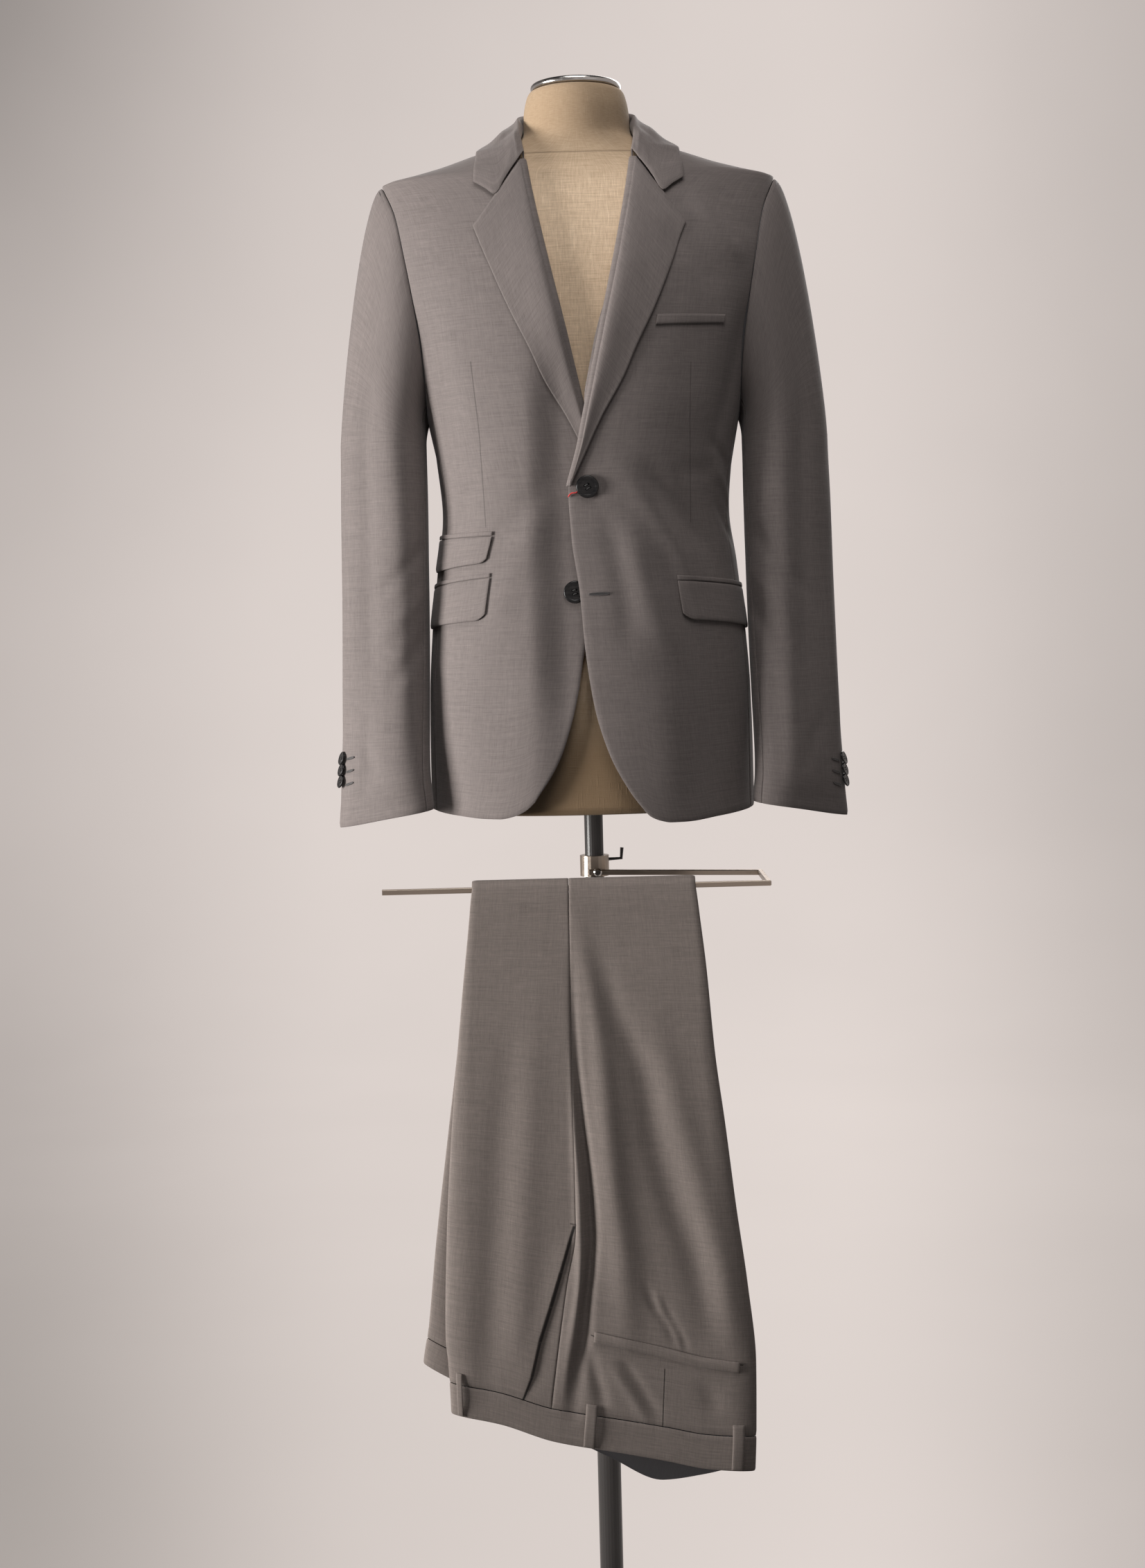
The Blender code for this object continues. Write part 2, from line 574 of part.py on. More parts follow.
def sleeve_cap(phi, t):
    """The sleeve head: each thread runs out of the armhole and turns down into the first full ring."""
    inset = 0.0006
    front = np.sin(phi) > 0
    depth = np.where(front, ARMHOLE_FRONT, ARMHOLE_BACK) - inset
    y = -depth * np.sin(phi)
    z = ARMHOLE_CENTRE + (ARMHOLE_HALF_HEIGHT - inset) * np.cos(phi)
    reach = np.where(y < 0, smooth(z, TORSO, 2), smooth(z, TORSO, 3))
    x = smooth(z, TORSO, 1) * (1 - np.minimum(1, np.abs(y) / reach) ** SECTION_POWER) ** (1 / SECTION_POWER)
    start = np.stack((x + 0.0003, y, z), axis=-1)
    finish = sleeve_ring(phi, np.full_like(phi, 1.340))
    span = np.linalg.norm(finish - start, axis=-1)
    rise = (1 + np.cos(phi)) / 2
    leave = np.stack((0.004 + 0.055 * np.sqrt(rise), -0.022 * np.sin(phi),
                      -0.24 * rise * (1 - rise) - 0.015 * (1 - rise) ** 2), axis=-1)
    arrive = np.stack((0.02 * np.maximum(np.cos(phi), 0), 0 * phi, -0.97 * span), axis=-1)
    return ((1 + 2 * t) * (1 - t) ** 2 * start + t * (1 - t) ** 2 * leave
            + t * t * (3 - 2 * t) * finish + t * t * (t - 1) * arrive)


def sleeve_panel(side, under, columns=10):
    """The upper or under half of a sleeve, between its front and back seams."""
    rows = [("cap", t) for t in CAP_STEPS] + [("ring", z) for z in SLEEVE_ROWS]
    half_gap = 0.018
    grid = np.empty((len(rows), columns, 3))
    for i, (kind, value) in enumerate(rows):
        down = i / (len(rows) - 1)
        back_seam = SLEEVE_BACK_SEAM_TOP + down * (SLEEVE_BACK_SEAM_CUFF - SLEEVE_BACK_SEAM_TOP)
        first, last = (SLEEVE_FRONT_SEAM, 2 * math.pi + back_seam) if under else (back_seam, SLEEVE_FRONT_SEAM)
        phi = np.linspace(first + half_gap, last - half_gap, columns)
        if kind == "cap":
            grid[i] = sleeve_cap(phi, value)
        else:
            slant = CUFF_SLANT * ramp(value, 1.05, 0.95) * -np.cos(phi) if value < 1.05 else 0 * phi
            grid[i] = sleeve_ring(phi, np.full_like(phi, value))
            grid[i, :, 2] += slant
    grid[..., 0] *= side
    return grid


# The trousers

def drop_rows():
    """The rows of a trouser panel: from the waist seam up to the rail, over it, and down behind to the hem."""
    front = [("front", s) for s in (1.0, 0.90, 0.79, 0.68, 0.56, 0.44, 0.30, 0.15, 0.04)]
    over = [("over", math.radians(a)) for a in (15, 55, 90, 125, 165)]
    back = [("back", s) for s in (0.05, 0.35, 0.70, 1.0)]
    return front + over + back


def leg_sheet(near, rows, places):
    """Points of one leg's surface. A place runs round the leg's flat section: -2 is the inseam or fly, -1 the
    front crease, 0 the side seam, 1 the back crease and 2 the inseam or the middle of the seat."""
    left, waist = (NEAR_LEFT, NEAR_WAIST) if near else (FAR_LEFT, FAR_WAIST)
    outer_layer, inner_layer = LEG_NEAR if near else LEG_FAR
    places = np.asarray(places, float)
    grid = np.empty((len(rows), len(places), 3))
    for i, (kind, share) in enumerate(rows):
        if kind == "front":
            level = [RAIL_Z + share * (foot - RAIL_Z) for foot in (waist[0, 1], smooth(-0.06, waist), waist[-1, 1])]
        else:
            level = [0.889 + (share * (1.360 - 0.889) if kind == "back" else 0.0)] * 3
        crease = float(smooth(level[0], left))
        seam = float(smooth(level[1], SIDE_SEAM))
        back = float(smooth(level[2], RIGHT_SIDE)) - (0 if near else 0.0015)
        seat = float(ramp(CROTCH_Z - level[1], 0, 0.20)) if kind == "front" else 0.0
        fly = seam + 0.002 + seat * (crease + 0.065 - seam)
        middle = seam + 0.003 + seat * (back - 0.014 - seam)
        x = np.interp(places, (-2, -1, 0, 1, 2), (fly, crease, seam, back, middle))
        foot = smooth(x, waist)
        height = RAIL_Z + share * (foot - RAIL_Z) if kind == "front" else np.full_like(x, level[1])
        front_swell = smooth(height, NEAR_SWELL) if kind == "front" else 0 * x
        back_swell = smooth(height, FAR_SWELL) if kind == "front" else 0 * x
        if near:
            outer, inner = outer_layer + front_swell, inner_layer + 0.45 * front_swell
        else:
            outer, inner = outer_layer + 0.10 * front_swell - back_swell, inner_layer + 0.32 * front_swell
        edge = np.where(places < 0, crease, back)
        reach = np.clip(np.abs(x - edge) / (0.006 + 1.7 * np.abs(np.abs(outer - inner) - 0.0028)), 0, 1)
        level_mid = (outer + inner) / 2
        target = np.where(np.abs(places) <= 1, outer, inner)
        layer = level_mid + (target - level_mid) * np.sqrt(1 - (1 - reach) ** 2)
        if near and kind == "front":
            layer = layer + np.where(np.abs(places) < 1, drape(x, height), 0)
        if kind == "front":
            grid[i] = np.stack((x, RAIL_Y - layer, height), axis=-1)
        elif kind == "over":
            grid[i] = np.stack((x, RAIL_Y - layer * math.cos(share), RAIL_Z + layer * math.sin(share)), axis=-1)
        else:
            grid[i] = np.stack((x, RAIL_Y + layer, RAIL_Z + share * (HEM_Z - RAIL_Z) + 0 * x), axis=-1)
    return grid


def drape(x, height):
    """How far the near leg's cloth stands out of its smooth form: one deep trough beside the side seam, the
    broad ridge that it leans on, and softer troughs that run down into the seat."""
    relief = 0 * x
    for top, foot, x_top, x_foot, bend, reach, depth in FOLDS:
        t = np.clip((top - height) / (top - foot), 0, 1)
        middle = x_top + (x_foot - x_top) * t + bend * 4 * t * (1 - t)
        along = ramp(height, foot, foot + 0.10) * (1 - ramp(height, top - 0.10, top))
        relief = relief + depth * along * np.exp(-((x - middle) / reach) ** 2)
    return relief


def leg_panel(near, front):
    """Half a leg, from its side seam round the crease to its inner seam, with the seam allowance left open."""
    gap = 0.002
    near_seam = (0.07, 0.15, 0.26, 0.40, 0.55, 0.70, 0.86) if near and not front else (0.30, 0.62, 0.86)
    places = np.array((gap, *near_seam, 0.965, 1.0, 1.04, 1.20, 1.97))
    return leg_sheet(near, drop_rows(), -places[::-1] if front else places)


def waistband(near):
    """The band below the waist seam, from the fly round the front crease and the side to the seat seam."""
    depth = BAND_DEPTH / (RAIL_Z - 0.335)
    rows = [("front", 1 + depth * s) for s in (1.0, 0.5, 0.05)]
    middle = (0.0, 0.07, 0.15, 0.26, 0.40, 0.55, 0.70, 0.86) if near else (0.0, 0.30, 0.62, 0.86)
    places = (-1.75, -1.20, -1.04, -1.0, -0.965, -0.86, -0.62, -0.30, *middle, 0.965, 1.0, 1.30)
    return leg_sheet(near, rows, places)


def strip(near, first, last, top, foot, lift, columns=3, rows=4):
    """A belt loop or welt lying on the outer side of a leg between two places; top and foot give the share of
    the drop at its first and last place."""
    grid = []
    for t in np.linspace(0, 1, columns):
        low, high = foot[0] + t * (foot[1] - foot[0]), top[0] + t * (top[1] - top[0])
        shares = np.linspace(low, high, rows)
        grid.append(leg_sheet(near, [("front", s) for s in shares], (first + t * (last - first),))[:, 0])
    grid = np.stack(grid, axis=1)
    grid[..., 1] += -lift if near else lift
    return grid


# Hard pieces

def bent_bar(name, path, half, bevel, where, finish):
    """A square bar with bevelled edges along level runs that meet at right angles, mitred at the bends."""
    flat = half - bevel
    section = ((half, flat), (flat, half), (-flat, half), (-half, flat),
               (-half, -flat), (-flat, -half), (flat, -half), (half, -flat))
    path = np.array(path, float)
    runs = np.diff(path[:, :2], axis=0)
    runs = runs / np.linalg.norm(runs, axis=1)[:, None]
    lefts = np.column_stack((-runs[:, 1], runs[:, 0]))
    offsets = [lefts[0]] + [lefts[i] + lefts[i + 1] for i in range(len(lefts) - 1)] + [lefts[-1]]
    points = [(p[0] + a * o[0], p[1] + a * o[1], p[2] + b) for p, o in zip(path, offsets) for a, b in section]
    faces = [(8 * i + j, 8 * i + (j + 1) % 8, 8 * i + 8 + (j + 1) % 8, 8 * i + 8 + j)
             for i in range(len(path) - 1) for j in range(8)]
    last = 8 * (len(path) - 1)
    faces += [tuple(reversed(range(8))), tuple(last + j for j in range(8))]
    mesh = bpy.data.meshes.new(name)
    mesh.from_pydata(points, [], faces)
    return link(bpy.data.objects.new(name, mesh), where, finish)


def bent_rod(name, points, radius, where, finish):
    """A round rod along straight runs, as a curve with bevel depth and closed ends."""
    curve = bpy.data.curves.new(name, "CURVE")
    curve.dimensions = "3D"
    curve.bevel_depth = radius
    curve.bevel_resolution = 1
    curve.use_fill_caps = True
    line = curve.splines.new("POLY")
    line.points.add(len(points) - 1)
    for spot, point in zip(line.points, points):
        spot.co = (*point, 1)
    return link(bpy.data.objects.new(name, curve), where, finish)


def place(obj, point, normal, spin=0.0):
    """Stand a turned piece on a point with its axis along normal."""
    up = np.array(normal, float) / np.linalg.norm(normal)
    obj.rotation_mode = "QUATERNION"
    obj.rotation_quaternion = Vector(up).to_track_quat("Z", "Y")
    obj.location = point
    return obj


def button(name, radius, thick, where, sides=20):
    """A rimmed button lying on z = 0, with a shallow dish inside the rim."""
    dish = 0.0007
    profile = ((0, thick - dish), (radius * 0.66, thick - dish), (radius * 0.76, thick), (radius * 0.9, thick),
               (radius, thick * 0.62), (radius * 0.93, thick * 0.2), (radius * 0.72, 0), (0, 0))
    return turned(name, profile, sides, where, "horn")


def surface_frame(at):
    """A point of a surface and its outward direction, from the surface as a function of two steps."""
    step = 0.0005
    origin, along, up = at(0, 0), at(step, 0) - at(-step, 0), at(0, step) - at(0, -step)
    normal = np.cross(along, up)
    return origin, normal / np.linalg.norm(normal), up / np.linalg.norm(up)


def front_frame(x, z, tuck=False):
    """The point of the jacket's front at x and z, and the way out of it."""
    def at(du, dv):
        point = torso_point(angle_at_x(x + du, z + dv), z + dv)
        if tuck:
            point = point + np.array((0, under_tuck(x + du, z + dv), 0))
        return point
    return surface_frame(at)


def cuff_frame(side, phi, height):
    """The point of a sleeve at an angle round it and a height, and the way out of it."""
    def at(du, dv):
        return sleeve_ring(np.float64(phi + du / 0.05), np.float64(height - dv))
    origin, normal, up = surface_frame(at)
    flip = np.array((side, 1, 1))
    return origin * flip, normal * flip, -up * flip


def dress_form(where):
    """The limbless form: rings from the foot to the top of the neck, closed by a fan at both ends."""
    steps = 28
    angles = np.linspace(0, 2 * math.pi, steps, endpoint=False)
    rings = []
    for height, width, front, back in FORM:
        power = 2 / (SECTION_POWER - 0.3 * float(ramp(height, 1.62, 1.66)))
        across, ahead = np.sin(angles), np.cos(angles)
        x = np.sign(across) * np.abs(across) ** power * width
        y = -np.sign(ahead) * np.abs(ahead) ** power * np.where(ahead > 0, front, back)
        rings.append(np.stack((x, y, np.full(steps, height)), axis=-1))
    grid = np.array(rings)
    points = grid.reshape(-1, 3).tolist() + [(0, 0, FORM[0, 0]), (0, 0, FORM[-1, 0])]
    count, faces = len(rings), []
    for i in range(count - 1):
        for j in range(steps):
            k = (j + 1) % steps
            faces.append((i * steps + j, i * steps + k, (i + 1) * steps + k, (i + 1) * steps + j))
    foot, top = count * steps, count * steps + 1
    for j in range(steps):
        k = (j + 1) % steps
        faces.append((foot, k, j))
        faces.append((top, (count - 1) * steps + j, (count - 1) * steps + k))
    mesh = bpy.data.meshes.new("form_body")
    mesh.from_pydata(points, [], faces)
    mesh.shade_smooth()
    link(bpy.data.objects.new("form_body", mesh), where, "linen")


def build_jacket(where):
    for side, name, edge, hem in ((1, "left", LEFT_EDGE, LEFT_HEM), (-1, "right", RIGHT_EDGE, RIGHT_HEM)):
        cloth(f"{name}_front", front_panel(side, edge, hem), where, turned=side < 0)
        cloth(f"{name}_side_panel", side_panel(side, hem), where, turned=side < 0)
        cloth(f"{name}_back", back_panel(side, hem), where, turned=side > 0)
        cloth(f"{name}_lapel", lapel(side), where, turned=side < 0)
        cloth(f"{name}_upper_sleeve", sleeve_panel(side, False), where, turned=side < 0)
        cloth(f"{name}_under_sleeve", sleeve_panel(side, True), where, turned=side < 0)
    cloth("vent_underlap", vent_underlap(LEFT_HEM), where)
    cloth("collar", collar_grid(), where, turned=True)

    lift, high, thin = 0.0009 + 0.0014, 0.0013 + 0.0014, 0.0014
    far = math.radians(97)
    cloth("left_pocket_flap", flap(1, (0.090, 0.095), far, (1.1890, 1.1800), (1.1500, 1.1380), lift, 0.008),
          where, thin)
    cloth("left_pocket_welt", flap(1, (0.0895, 0.090), far, (1.1945, 1.1855), (1.1895, 1.1805), lift, rows=2),
          where, thin)
    cloth("right_pocket_flap", flap(-1, (0.099, 0.105), far, (1.1965, 1.1860), (1.1540, 1.1450), lift, 0.008),
          where, thin, turned=True)
    cloth("right_pocket_welt", flap(-1, (0.0985, 0.099), far, (1.2015, 1.1910), (1.1970, 1.1865), lift, rows=2),
          where, thin, turned=True)
    cloth("ticket_flap", flap(-1, (0.096, 0.102), math.radians(84), (1.2385, 1.2385), (1.2120, 1.2040), high,
                              0.006), where, thin, turned=True)
    cloth("ticket_welt", flap(-1, (0.0955, 0.096), math.radians(84), (1.2435, 1.2435), (1.2390, 1.2390), high,
                              rows=2), where, thin, turned=True)
    cloth("chest_welt", flap(1, (0.0740, 0.0725), float(angle_at_x(0.143, 1.452)), (1.4548, 1.4570),
                             (1.4445, 1.4480), lift, rows=2), where, thin)

    for name, x, z, radius, tuck in (("top_button", 0.001, 1.285, 0.0115, False),
                                     ("lower_button", -0.014, 1.1795, 0.0115, True)):
        origin, normal, _ = front_frame(x, z, tuck)
        place(button(name, radius, 0.0032, where), origin + normal * 0.0008, normal)
    for side, name, heights in ((-1, "right", (1.013, 1.001, 0.989)), (1, "left", (1.0005, 0.989, 0.9775))):
        for number, height in enumerate(heights, 1):
            origin, normal, up = cuff_frame(side, math.radians(20), height)
            lean = normal * math.cos(math.radians(12.5)) + up * math.sin(math.radians(12.5))
            seat = origin + normal * 0.0012
            place(button(f"{name}_cuff_button_{number}", 0.0073, 0.0021, where, 12), seat, lean)


def build_trousers(where):
    for near, name in ((True, "right"), (False, "left")):
        cloth(f"{name}_trouser_front", leg_panel(near, True), where, TROUSER_WALL, turned=not near)
        cloth(f"{name}_trouser_back", leg_panel(near, False), where, TROUSER_WALL, turned=not near)
        cloth(f"{name}_waistband", waistband(near), where, 0.0020, turned=not near)


    for near, name in ((True, "right"), (False, "left")):
        for number, (first, last, top, foot) in enumerate((
                (-0.93, -0.87, (0.975, 0.975), (1.064, 1.064)),
                (0.165, 0.220, (0.978, 0.978), (1.064, 1.064)),
                (0.880, 0.940, (0.978, 0.978), (1.064, 1.064))), 1):
            lift = 0.0021 if first < 0 else 0.0017
            cloth(f"{name}_belt_loop_{number}", strip(near, first, last, top, foot, lift), where, 0.0012,
                  turned=not near)
        cloth(f"{name}_hip_pocket_welt", strip(near, 0.17, 0.915, (0.836, 0.861), (0.857, 0.882), 0.0018, 9, 2),
              where, 0.0010, turned=not near)


def build_form(where):
    dress_form(where)
    top = FORM[-1, 0] + 0.0003
    turned("neck_cap", ((0, top + 0.0066), (0.0440, top + 0.0066), (0.0462, top + 0.0058), (0.0472, top + 0.0040),
                        (0.0472, top + 0.0020), (0.0464, top + 0.0006), (0.0450, top), (0, top)), 32, where, "chrome")


def build_stand(where):
    turned("base_plate", ((0, BASE_THICK), (BASE_RADIUS - 0.006, BASE_THICK),
                          (BASE_RADIUS - 0.0015, BASE_THICK - 0.002), (BASE_RADIUS, BASE_THICK - 0.005),
                          (BASE_RADIUS, 0.0015), (BASE_RADIUS - 0.0015, 0), (0, 0)), 40, where, "black_steel")
    turned("lower_tube", ring_profile(LOWER_TUBE_RADIUS, UPPER_TUBE_RADIUS + TUBE_CLEARANCE, BASE_THICK + 0.0003,
                                      LOWER_TUBE_TOP), 24, where, "black_steel")
    turned("base_socket", ((LOWER_TUBE_RADIUS + 0.0003, 0.060), (0.0180, 0.060), (0.0200, 0.058), (0.0210, 0.020),
                           (0.0300, 0.0103), (LOWER_TUBE_RADIUS + 0.0003, 0.0103),
                           (LOWER_TUBE_RADIUS + 0.0003, 0.060)), 24, where, "black_steel")
    turned("upper_tube", ring_profile(UPPER_TUBE_RADIUS, 0.0080, UPPER_TUBE_FOOT, FORM_FOOT - 0.0003), 24, where,
           "black_steel")


    turned("height_lock_ring", ring_profile(0.0210, LOWER_TUBE_RADIUS + 0.0003, 0.585, 0.622), 24, where,
           "black_steel")
    knob = turned("height_lock_knob", ((0, 0.0245), (0.0100, 0.0245), (0.0120, 0.0225), (0.0120, 0.0120),
                                       (0.0100, 0.0100), (0.0035, 0.0098), (0.0035, 0), (0, 0)), 20, where,
                  "black_steel")
    place(knob, (0, 0.0213, 0.603), (0, 1, 0))


def build_rail(where):
    foot = RAIL_Z - 0.001
    turned("rail_clamp", ring_profile(0.0155, UPPER_TUBE_RADIUS + TUBE_CLEARANCE, foot, foot + 0.022), 24, where,
           "nickel")
    bent_bar("rail", ((-0.006, ARM_Y, 0.8835), (RAIL_RIGHT, ARM_Y, RAIL_Z), (RAIL_RIGHT, RAIL_Y, RAIL_Z),
                      (RAIL_LEFT, RAIL_Y, RAIL_Z)), RAIL_SIDE / 2, 0.0009, where, "nickel")
    screw = turned("rail_screw", ((0, 0.0026), (0.0030, 0.0026), (0.0044, 0.0015), (0.0046, 0), (0, 0)), 16,
                   where, "chrome")
    place(screw, (0.003, ARM_Y - RAIL_SIDE / 2 - 0.0004, 0.8835), (0, -1, 0))
    bent_rod("clamp_key", ((0.0150, 0.0065, 0.8945), (0.0290, 0.0125, 0.8945), (0.0300, 0.0130, 0.9060)), 0.0019,
             where, "black_steel")


def main():
    clear_scene()
    suit = collection("suit_on_dress_form")
    build_jacket(suit)
    build_trousers(suit)
    build_form(suit)
    build_stand(suit)
    build_rail(suit)


main()
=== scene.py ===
"""A two-piece suit: the jacket buttoned on a limbless dress form, the trousers folded over the form's rail.

Metres, +Z up, the suit facing -Y, so +X is the wearer's left. The sections follow the suit as it is put
together: studio, stand, form, rail, jacket panels, sleeves, lapels, collar, pockets, buttons, trousers.
"""

import math

import bmesh
import bpy
import numpy as np
from mathutils import Euler, Matrix


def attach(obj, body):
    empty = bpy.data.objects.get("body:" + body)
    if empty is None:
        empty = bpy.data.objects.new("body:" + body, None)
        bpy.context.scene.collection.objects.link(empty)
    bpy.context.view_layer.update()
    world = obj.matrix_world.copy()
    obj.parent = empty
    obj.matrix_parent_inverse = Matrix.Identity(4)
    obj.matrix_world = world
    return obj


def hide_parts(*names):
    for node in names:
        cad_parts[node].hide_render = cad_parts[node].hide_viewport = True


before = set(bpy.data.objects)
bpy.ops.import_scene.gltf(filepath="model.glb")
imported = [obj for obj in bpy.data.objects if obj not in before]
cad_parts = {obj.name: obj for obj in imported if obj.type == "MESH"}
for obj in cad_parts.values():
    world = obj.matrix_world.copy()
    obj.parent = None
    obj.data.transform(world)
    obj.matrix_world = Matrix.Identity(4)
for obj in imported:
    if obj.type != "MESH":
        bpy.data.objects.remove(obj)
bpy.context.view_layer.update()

# The studio: a seamless pale cove that rises all round the stand, one big soft lamp to the left of the
# camera, and weaker ones in front, above and behind. The cove's brightness is painted light: it glows,
# brightest behind the suit, and falls off as painted shade to the sides. The camera stands at chest height,
# tilted down a little.

scene = bpy.context.scene
scene.view_settings.view_transform = "Standard"
lens = bpy.data.cameras.new("camera")
lens.lens, lens.sensor_width = 50, 36
camera = bpy.data.objects.new("camera", lens)
camera.location = (-0.0215, -2.326, 1.146)
tilt_down, roll = 4.16, -1.45
camera.rotation_euler = (Euler((math.radians(90 - tilt_down), 0, 0)).to_matrix()
                         @ Matrix.Rotation(math.radians(roll), 3, "Z")).to_euler()
scene.collection.objects.link(camera)
scene.camera = camera


def lamp(name, place, aim, size, power, colour):
    """A square soft lamp of one size at a place, turned to look at aim."""
    light = bpy.data.lights.new(name, "AREA")
    light.size, light.energy, light.color = size, power, colour
    made = bpy.data.objects.new(name, light)
    made.location = place
    way = np.subtract(aim, place)
    made.rotation_euler = (math.atan2(math.hypot(way[0], way[1]), -way[2]), 0, math.atan2(-way[0], way[1]))
    scene.collection.objects.link(made)
    return made


lamp("key", (-2.66, -0.87, 1.10), (0, 0, 1.10), 1.1, 126, (1.0, 0.97, 0.94))
lamp("fill", (1.9, -2.6, 1.3), (0, 0, 1.1), 2.0, 3, (1.0, 0.98, 0.97))
lamp("top", (0.0, -1.1, 3.0), (0, 0, 1.2), 1.2, 22, (1.0, 0.97, 0.95))
lamp("back", (1.3, 2.9, 2.9), (0, 0, 1.1), 2.0, 72, (1.0, 0.97, 0.95)).visible_camera = False
scene.world = scene.world or bpy.data.worlds.new("studio")
scene.world.use_nodes = True
scene.world.node_tree.nodes["Background"].inputs["Color"].default_value = (1.0, 0.96, 0.93, 1)
scene.world.node_tree.nodes["Background"].inputs["Strength"].default_value = 0.026


def surface(name, grid, weave=None, flip=False, closed=False):
    """The mesh of a grid of points, a face to a cell. weave gives each point's place on the flat cloth in
    metres, kept as the UV map. closed merges the two ends of the rows and any row that is one point."""
    rows, columns = grid.shape[:2]
    index = np.arange(rows * columns).reshape(rows, columns)
    faces = np.stack((index[:-1, :-1], index[:-1, 1:], index[1:, 1:], index[1:, :-1]), axis=-1).reshape(-1, 4)
    if flip:
        faces = faces[:, ::-1]
    mesh = bpy.data.meshes.new(name)
    mesh.from_pydata(grid.reshape(-1, 3).tolist(), [], faces.tolist())
    if weave is not None:
        layer = mesh.uv_layers.new(name="weave")
        layer.data.foreach_set("uv", weave.reshape(-1, 2)[faces.ravel()].astype(np.float32).ravel())
    if closed:
        sheet = bmesh.new()
        sheet.from_mesh(mesh)
        bmesh.ops.remove_doubles(sheet, verts=sheet.verts, dist=1e-7)
        bmesh.ops.dissolve_degenerate(sheet, dist=1e-8, edges=sheet.edges)
        bmesh.ops.recalc_face_normals(sheet, faces=sheet.faces)
        sheet.to_mesh(mesh)
        sheet.free()
    mesh.shade_smooth()
    return mesh


def piece(name, mesh, finish, body=None, nodes=()):
    """A finished piece at the origin, with the body it rides on and the nodes it stands for."""
    obj = bpy.data.objects.new(name, mesh)
    scene.collection.objects.link(obj)
    mesh.materials.append(finish)
    if nodes:
        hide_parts(*nodes)
    if body:
        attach(obj, body)
    return obj


class Wire:
    """A socket inside a finish. Sums, products and the like of it add Math nodes."""

    def __init__(self, finish, socket):
        self.finish, self.socket = finish, socket

    def worked(self, operation, *values):
        return self.finish.add("ShaderNodeMath", {"operation": operation}, dict(enumerate(values)))

    def __add__(self, other):
        return self.worked("ADD", self, other)

    def __sub__(self, other):
        return self.worked("SUBTRACT", self, other)

    def __rsub__(self, other):
        return self.worked("SUBTRACT", other, self)

    def __mul__(self, other):
        return self.worked("MULTIPLY", self, other)

    def __truediv__(self, other):
        return self.worked("DIVIDE", self, other)

    def __abs__(self):
        return self.worked("ABSOLUTE", self)

    def at_least(self, other):
        return self.worked("MAXIMUM", self, other)

    __radd__, __rmul__ = __add__, __mul__


class Finish:
    """A material in the making: add() adds any node, and show() sets or links sockets of its shader."""

    def __init__(self, name, **constants):
        self.material = bpy.data.materials.new(name)
        self.material.use_nodes = True
        self.tree = self.material.node_tree
        self.shader = self.tree.nodes["Principled BSDF"]
        self.put(self.shader, {key.replace("_", " ").title().replace("Ior", "IOR"): value
                               for key, value in constants.items()})

    def put(self, node, values):
        for key, value in values.items():
            if isinstance(value, Wire):
                self.tree.links.new(value.socket, node.inputs[key])
            else:
                node.inputs[key].default_value = value

    def add(self, kind, settings, values, out=0):
        node = self.tree.nodes.new(kind)
        for key, value in settings.items():
            setattr(node, key, value)
        self.put(node, values)
        return Wire(self, node.outputs[out])

    def place(self):
        """The place on the piece in metres."""
        return self.add("ShaderNodeTexCoord", {}, {}, 3)

    def weave(self):
        """The place on the flat cloth in metres."""
        return self.add("ShaderNodeUVMap", {"uv_map": "weave"}, {})

    def axis(self, vector, number):
        return self.add("ShaderNodeSeparateXYZ", {}, {0: vector}, number)

    def blend(self, share, first, second):
        return self.add("ShaderNodeMix", {"data_type": "RGBA"}, {0: share, 6: first, 7: second}, 2)

    def bump(self, strength, depth, height):
        return self.add("ShaderNodeBump", {}, {"Strength": strength, "Distance": depth, "Height": height})

    def step(self, value, low, high):
        """0 below low, 1 above high, and a soft step between."""
        return self.add("ShaderNodeMapRange", {"interpolation_type": "SMOOTHSTEP"},
                        {0: value, 1: low, 2: high, 3: 0.0, 4: 1.0})

    def noise(self, vector, scale, detail=2.0, stretch=(1, 1, 1), start=0.0):
        """Smooth noise about one half, with stretch cells to the metre along each axis times scale."""
        shift = (start, start * 1.7, start * 0.6)
        spot = self.add("ShaderNodeMapping", {}, {"Vector": vector, "Location": shift, "Scale": stretch})
        return self.add("ShaderNodeTexNoise", {}, {"Vector": spot, "Scale": scale, "Detail": detail})

    def show(self, **links):
        self.put(self.shader, {key.replace("_", " ").title(): value for key, value in links.items()})
        return self.material


def cove_finish():
    """Matt plaster that glows a little, so that it stays as pale behind the suit as the lamp leaves it: the
    glow is painted light. It is brightest behind the rail and falls off to both sides, most of all up to the
    left, in painted shade, with faint mottling. Its side and rise are measured from (0, -2.33, 1.15) as
    tangents."""
    paper = Finish("glowing_plaster_painted_light", roughness=0.9, specular_ior_level=0.1, base_color=(0.12, 0.112, 0.105, 1))
    spot = paper.place()
    x, y, z = (paper.axis(spot, number) for number in range(3))
    far = (y + 2.33).at_least(2.0)
    side, rise = x / far, (z - 1.15) / far
    left = 1 - paper.step(side, -0.42, 0.16)
    high, low = paper.step(rise, -0.02, 0.42), 1 - paper.step(rise, -0.42, -0.05)
    edge = paper.step(abs(side), 0.10, 0.30)
    mottle = (paper.noise(spot, 0.7, 4) - 0.5) * 0.14
    # Painted shade: the glow is dimmed towards both sides and most of all up to the left.
    shade = edge * 0.28 + left * high * 0.50 + left * low * 0.27 + low * 0.09 + mottle
    glow = paper.blend(shade, (0.86, 0.775, 0.735, 1), (0.0, 0.0, 0.0, 1))
    return paper.show(emission_color=glow, emission_strength=0.80)


